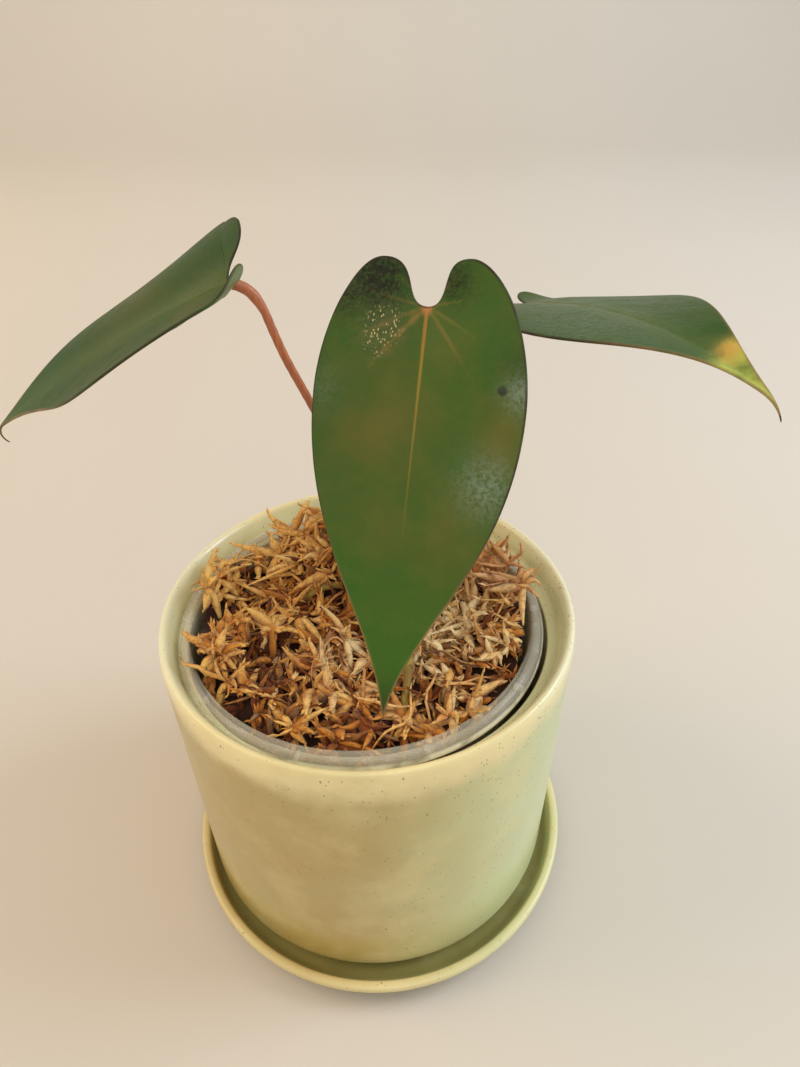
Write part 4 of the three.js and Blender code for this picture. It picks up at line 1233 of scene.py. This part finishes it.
        # This mask paints shade low in the bed and light on top, with random tone on both.
        tone = 1.15 * layer ** 1.6 - 0.06 + rng.normal(0, 0.22, len(x))
        tone += sum(strength * bell(x, y, *at) for *at, strength in SHADES)
        pale = np.max([strength * bell(x, y, *at) for *at, strength in BLEACHED], 0)
        bleach = np.clip(pale * (1.7 * layer - 0.4) + rng.normal(-0.14, 0.22, len(x)), 0, 1)
        pink = np.clip(bell(x, y, *PINKISH) * 1.3 - 0.1, 0, 1)
        s = np.concatenate([np.repeat(np.linspace(0, 1, steps), sides), [0, 1]])
        tone = np.repeat(tone, each) + np.tile(0.3 * s - 0.12, len(x))
        add_piece(name, points, faces, material, "sphagnum", (),
                  dict(tone=np.clip(tone, 0, 1), bleach=np.repeat(bleach, each),
                       pink=np.repeat(pink, each)))


class OBJECT_OT_stem_and_roots(bpy.types.Operator):
    """Adds the stem base and the roots that grow from it"""

    bl_idname = "anthurium.stem"
    bl_label = "Stem base and roots"

    def execute(self, context):
        """The stem widens upwards, with knots of sin 0.95 z and a ring near its top. A root
        tapers evenly, with lumps of two sines, and closes over its last twenty-fifth."""
        z = np.linspace(0, 51, 40)
        knots = 1 + 0.05 * np.sin(z * 0.95) + 0.05 * np.exp(-((z - 46) / 2.5) ** 2)
        wall = (5 + 1.4 * smooth(z, 0, 48)) * knots * np.where(z > 48, 1 - (z - 48) / 9, 1)
        profile = np.vstack([[0, 0], np.stack([wall, z], 1), [0, 52]])
        stem = turned(profile, STEM_SIDES, STEM_AT, STEM_FOOT)
        steps, sides = ROOT_GRID
        s = np.linspace(0, 1, steps)
        lumps = 1 + 0.06 * np.sin(s * 37) + 0.04 * np.sin(s * 71 + 1)
        radii = (2.1 - 0.9 * s) * lumps * np.sqrt(1 - 0.98 * smooth(s, 0.96, 1.0))
        roots = [tubes(spline(route, steps)[None], radii[None], sides)
                 for route in ROOT_ROUTES]
        add_piece("stem_base_and_roots", *joined(stem, *roots), stem_material(), "plant_stem",
                  ["stem_and_roots"])
        return {"FINISHED"}


class OBJECT_OT_petioles(bpy.types.Operator):
    """Adds the three petioles, each with a swollen joint and a broad foot"""

    bl_idname = "anthurium.petioles"
    bl_label = "Petioles"

    def execute(self, context):
        """Radius 1.3 mm, plus 1 mm at the foot that fades from 4 to 20 mm up, 0.35 mm at the
        joint that comes in from 12 to 7 mm before it, and a ripple of 0.03 sin 1.7 s."""
        material = petiole_material(context.scene.anthurium_plant)
        steps, sides = PETIOLE_GRID
        for name, leaf in LEAVES.items():
            line = petiole_line(leaf, steps)
            far = lengths_along(line)
            foot = 1.0 * (1 - smooth(far, 4, 20))
            joint = 0.35 * smooth(far, far[-1] - 12, far[-1] - 7)
            radii = 1.3 + foot + joint + 0.03 * np.sin(far * 1.7) * smooth(far, 10, 30)
            points, faces = tubes(line[None], radii[None], sides)
            up = np.concatenate([np.repeat(far / far[-1], sides), [0, 1]])
            add_piece(f"{name}_petiole", points, faces, material, "petiole",
                      [f"petiole_{name}"], dict(up=up))
        return {"FINISHED"}


class OBJECT_OT_leaves(bpy.types.Operator):
    """Adds the three heart-shaped leaf blades"""

    bl_idname = "anthurium.leaves"
    bl_label = "Leaf blades"

    def execute(self, context):
        settings = context.scene.anthurium_plant
        material = leaf_material(settings)
        for name, leaf in LEAVES.items():
            points, faces, masks = blade(name, leaf, settings.rows, settings.thickness / MM)
            add_piece(f"{name}_blade", points, faces, material, "leaf", [f"leaf_{name}"], masks)
        return {"FINISHED"}


class OBJECT_OT_stage(bpy.types.Operator):
    """Adds the plain pale floor, the soft lights and the camera"""

    bl_idname = "anthurium.stage"
    bl_label = "Stage"

    def execute(self, context):
        settings = context.scene.anthurium_stage
        self.floor(settings)
        scene = context.scene
        world = scene.world or bpy.data.worlds.new("World")
        scene.world = world
        world.use_nodes = True
        back = world.node_tree.nodes["Background"]
        back.inputs["Color"].default_value = rgb(236, 236, 232)
        back.inputs["Strength"].default_value = settings.sky
        for name, place, target, size, power, share, tint in LIGHTS:
            self.light(name, place, target, size, share * getattr(settings, power), rgb(*tint))
        scene.view_settings.view_transform = "Standard"
        self.camera(scene)
        return {"FINISHED"}

    def floor(self, settings):
        """A level sheet that curves up behind: the profile carried along x."""
        front, start, corner, end, top = np.array(FLOOR_LINE)
        line = np.vstack([np.linspace(front, start, 30),
                          curve([start, corner, end], np.linspace(0, 1, 24))[1:],
                          np.linspace(end + (0, 0.1), top, 8)])
        x = np.linspace(-FLOOR_HALF, FLOOR_HALF, 3)
        points = np.stack(np.broadcast_arrays(x, line[:, :1], line[:, 1:]), -1).reshape(-1, 3)
        faces = grid_faces(len(line), 3, False)[:, ::-1]
        mesh = bpy.data.meshes.new("floor")
        mesh.from_pydata(points.tolist(), [], faces.tolist())
        mesh.polygons.foreach_set("use_smooth", np.ones(len(faces), bool))
        material, make = new_material("Pale floor", Roughness=0.6, Specular_IOR_Level=0.2)
        shade = [0.97 * value for value in settings.floor]
        make.feed(Base_Color=make.mix(make.patches(make.place(), 2.0, 0.2, 0.8),
                                      settings.floor, shade))
        mesh.materials.append(material)
        put_in("floor", mesh)

    def light(self, name, place, target, size, power, tint):
        """A disc of light that faces its target, with its own X level."""
        lamp = bpy.data.lights.new(name, "AREA")
        lamp.shape = "DISK"
        lamp.size = size
        lamp.energy = power
        lamp.color = tint[:3]
        back = unit(np.array(place) - np.array(target))
        side = unit(np.cross([0, 0, 1.0], back))
        put_in(name, lamp, side, np.cross(back, side), back, place)

    def camera(self, scene):
        """Turned down by the pitch about X, then by the roll about its own line of sight."""
        pitch, roll = CAMERA["pitch"], CAMERA["roll"]
        ahead = np.array([0, math.cos(pitch), -math.sin(pitch)])
        right = np.array([1.0, 0, 0])
        above = np.cross(right, ahead)
        data = bpy.data.cameras.new("camera")
        data.sensor_fit = "VERTICAL"
        data.sensor_height = SENSOR
        data.lens = SENSOR * CAMERA["focal"] / CAMERA["high"]
        data.clip_start = 0.01
        scene.camera = put_in("camera", data, math.cos(roll) * right + math.sin(roll) * above,
                              math.cos(roll) * above - math.sin(roll) * right, -ahead,
                              np.array(CAMERA["place"]) * MM)


class VIEW3D_PT_anthurium(bpy.types.Panel):
    """Lists the pieces and their settings"""

    bl_idname = "VIEW3D_PT_anthurium"
    bl_label = "Potted anthurium"
    bl_space_type = "VIEW_3D"
    bl_region_type = "UI"
    bl_category = "Anthurium"

    def draw(self, context):
        for key, (_, *operators) in GROUPS.items():
            box = self.layout.box()
            settings = getattr(context.scene, key)
            for field in settings.__annotations__:
                box.prop(settings, field)
            for operator in operators:
                box.operator(operator.bl_idname)


# The settings of each group of pieces, and the operators that use them, in building order
GROUPS = {
    "anthurium_stage": (StageSettings, OBJECT_OT_stage),
    "anthurium_pots": (PotSettings, OBJECT_OT_saucer_and_cover_pot, OBJECT_OT_inner_pot),
    "anthurium_moss": (MossSettings, OBJECT_OT_moss),
    "anthurium_plant": (PlantSettings, OBJECT_OT_stem_and_roots, OBJECT_OT_petioles,
                        OBJECT_OT_leaves),
}
CLASSES = [item for row in GROUPS.values() for item in row] + [VIEW3D_PT_anthurium]


def register():
    for item in CLASSES:
        bpy.utils.register_class(item)
    for key, (settings, *_) in GROUPS.items():
        setattr(bpy.types.Scene, key, bpy.props.PointerProperty(type=settings))


def unregister():
    for key in GROUPS:
        delattr(bpy.types.Scene, key)
    for item in reversed(CLASSES):
        bpy.utils.unregister_class(item)


def main():
    register()
    build_groups()
    for _, *operators in GROUPS.values():
        for operator in operators:
            group, name = operator.bl_idname.split(".")
            getattr(getattr(bpy.ops, group), name)()


if __name__ == "__main__":
    main()
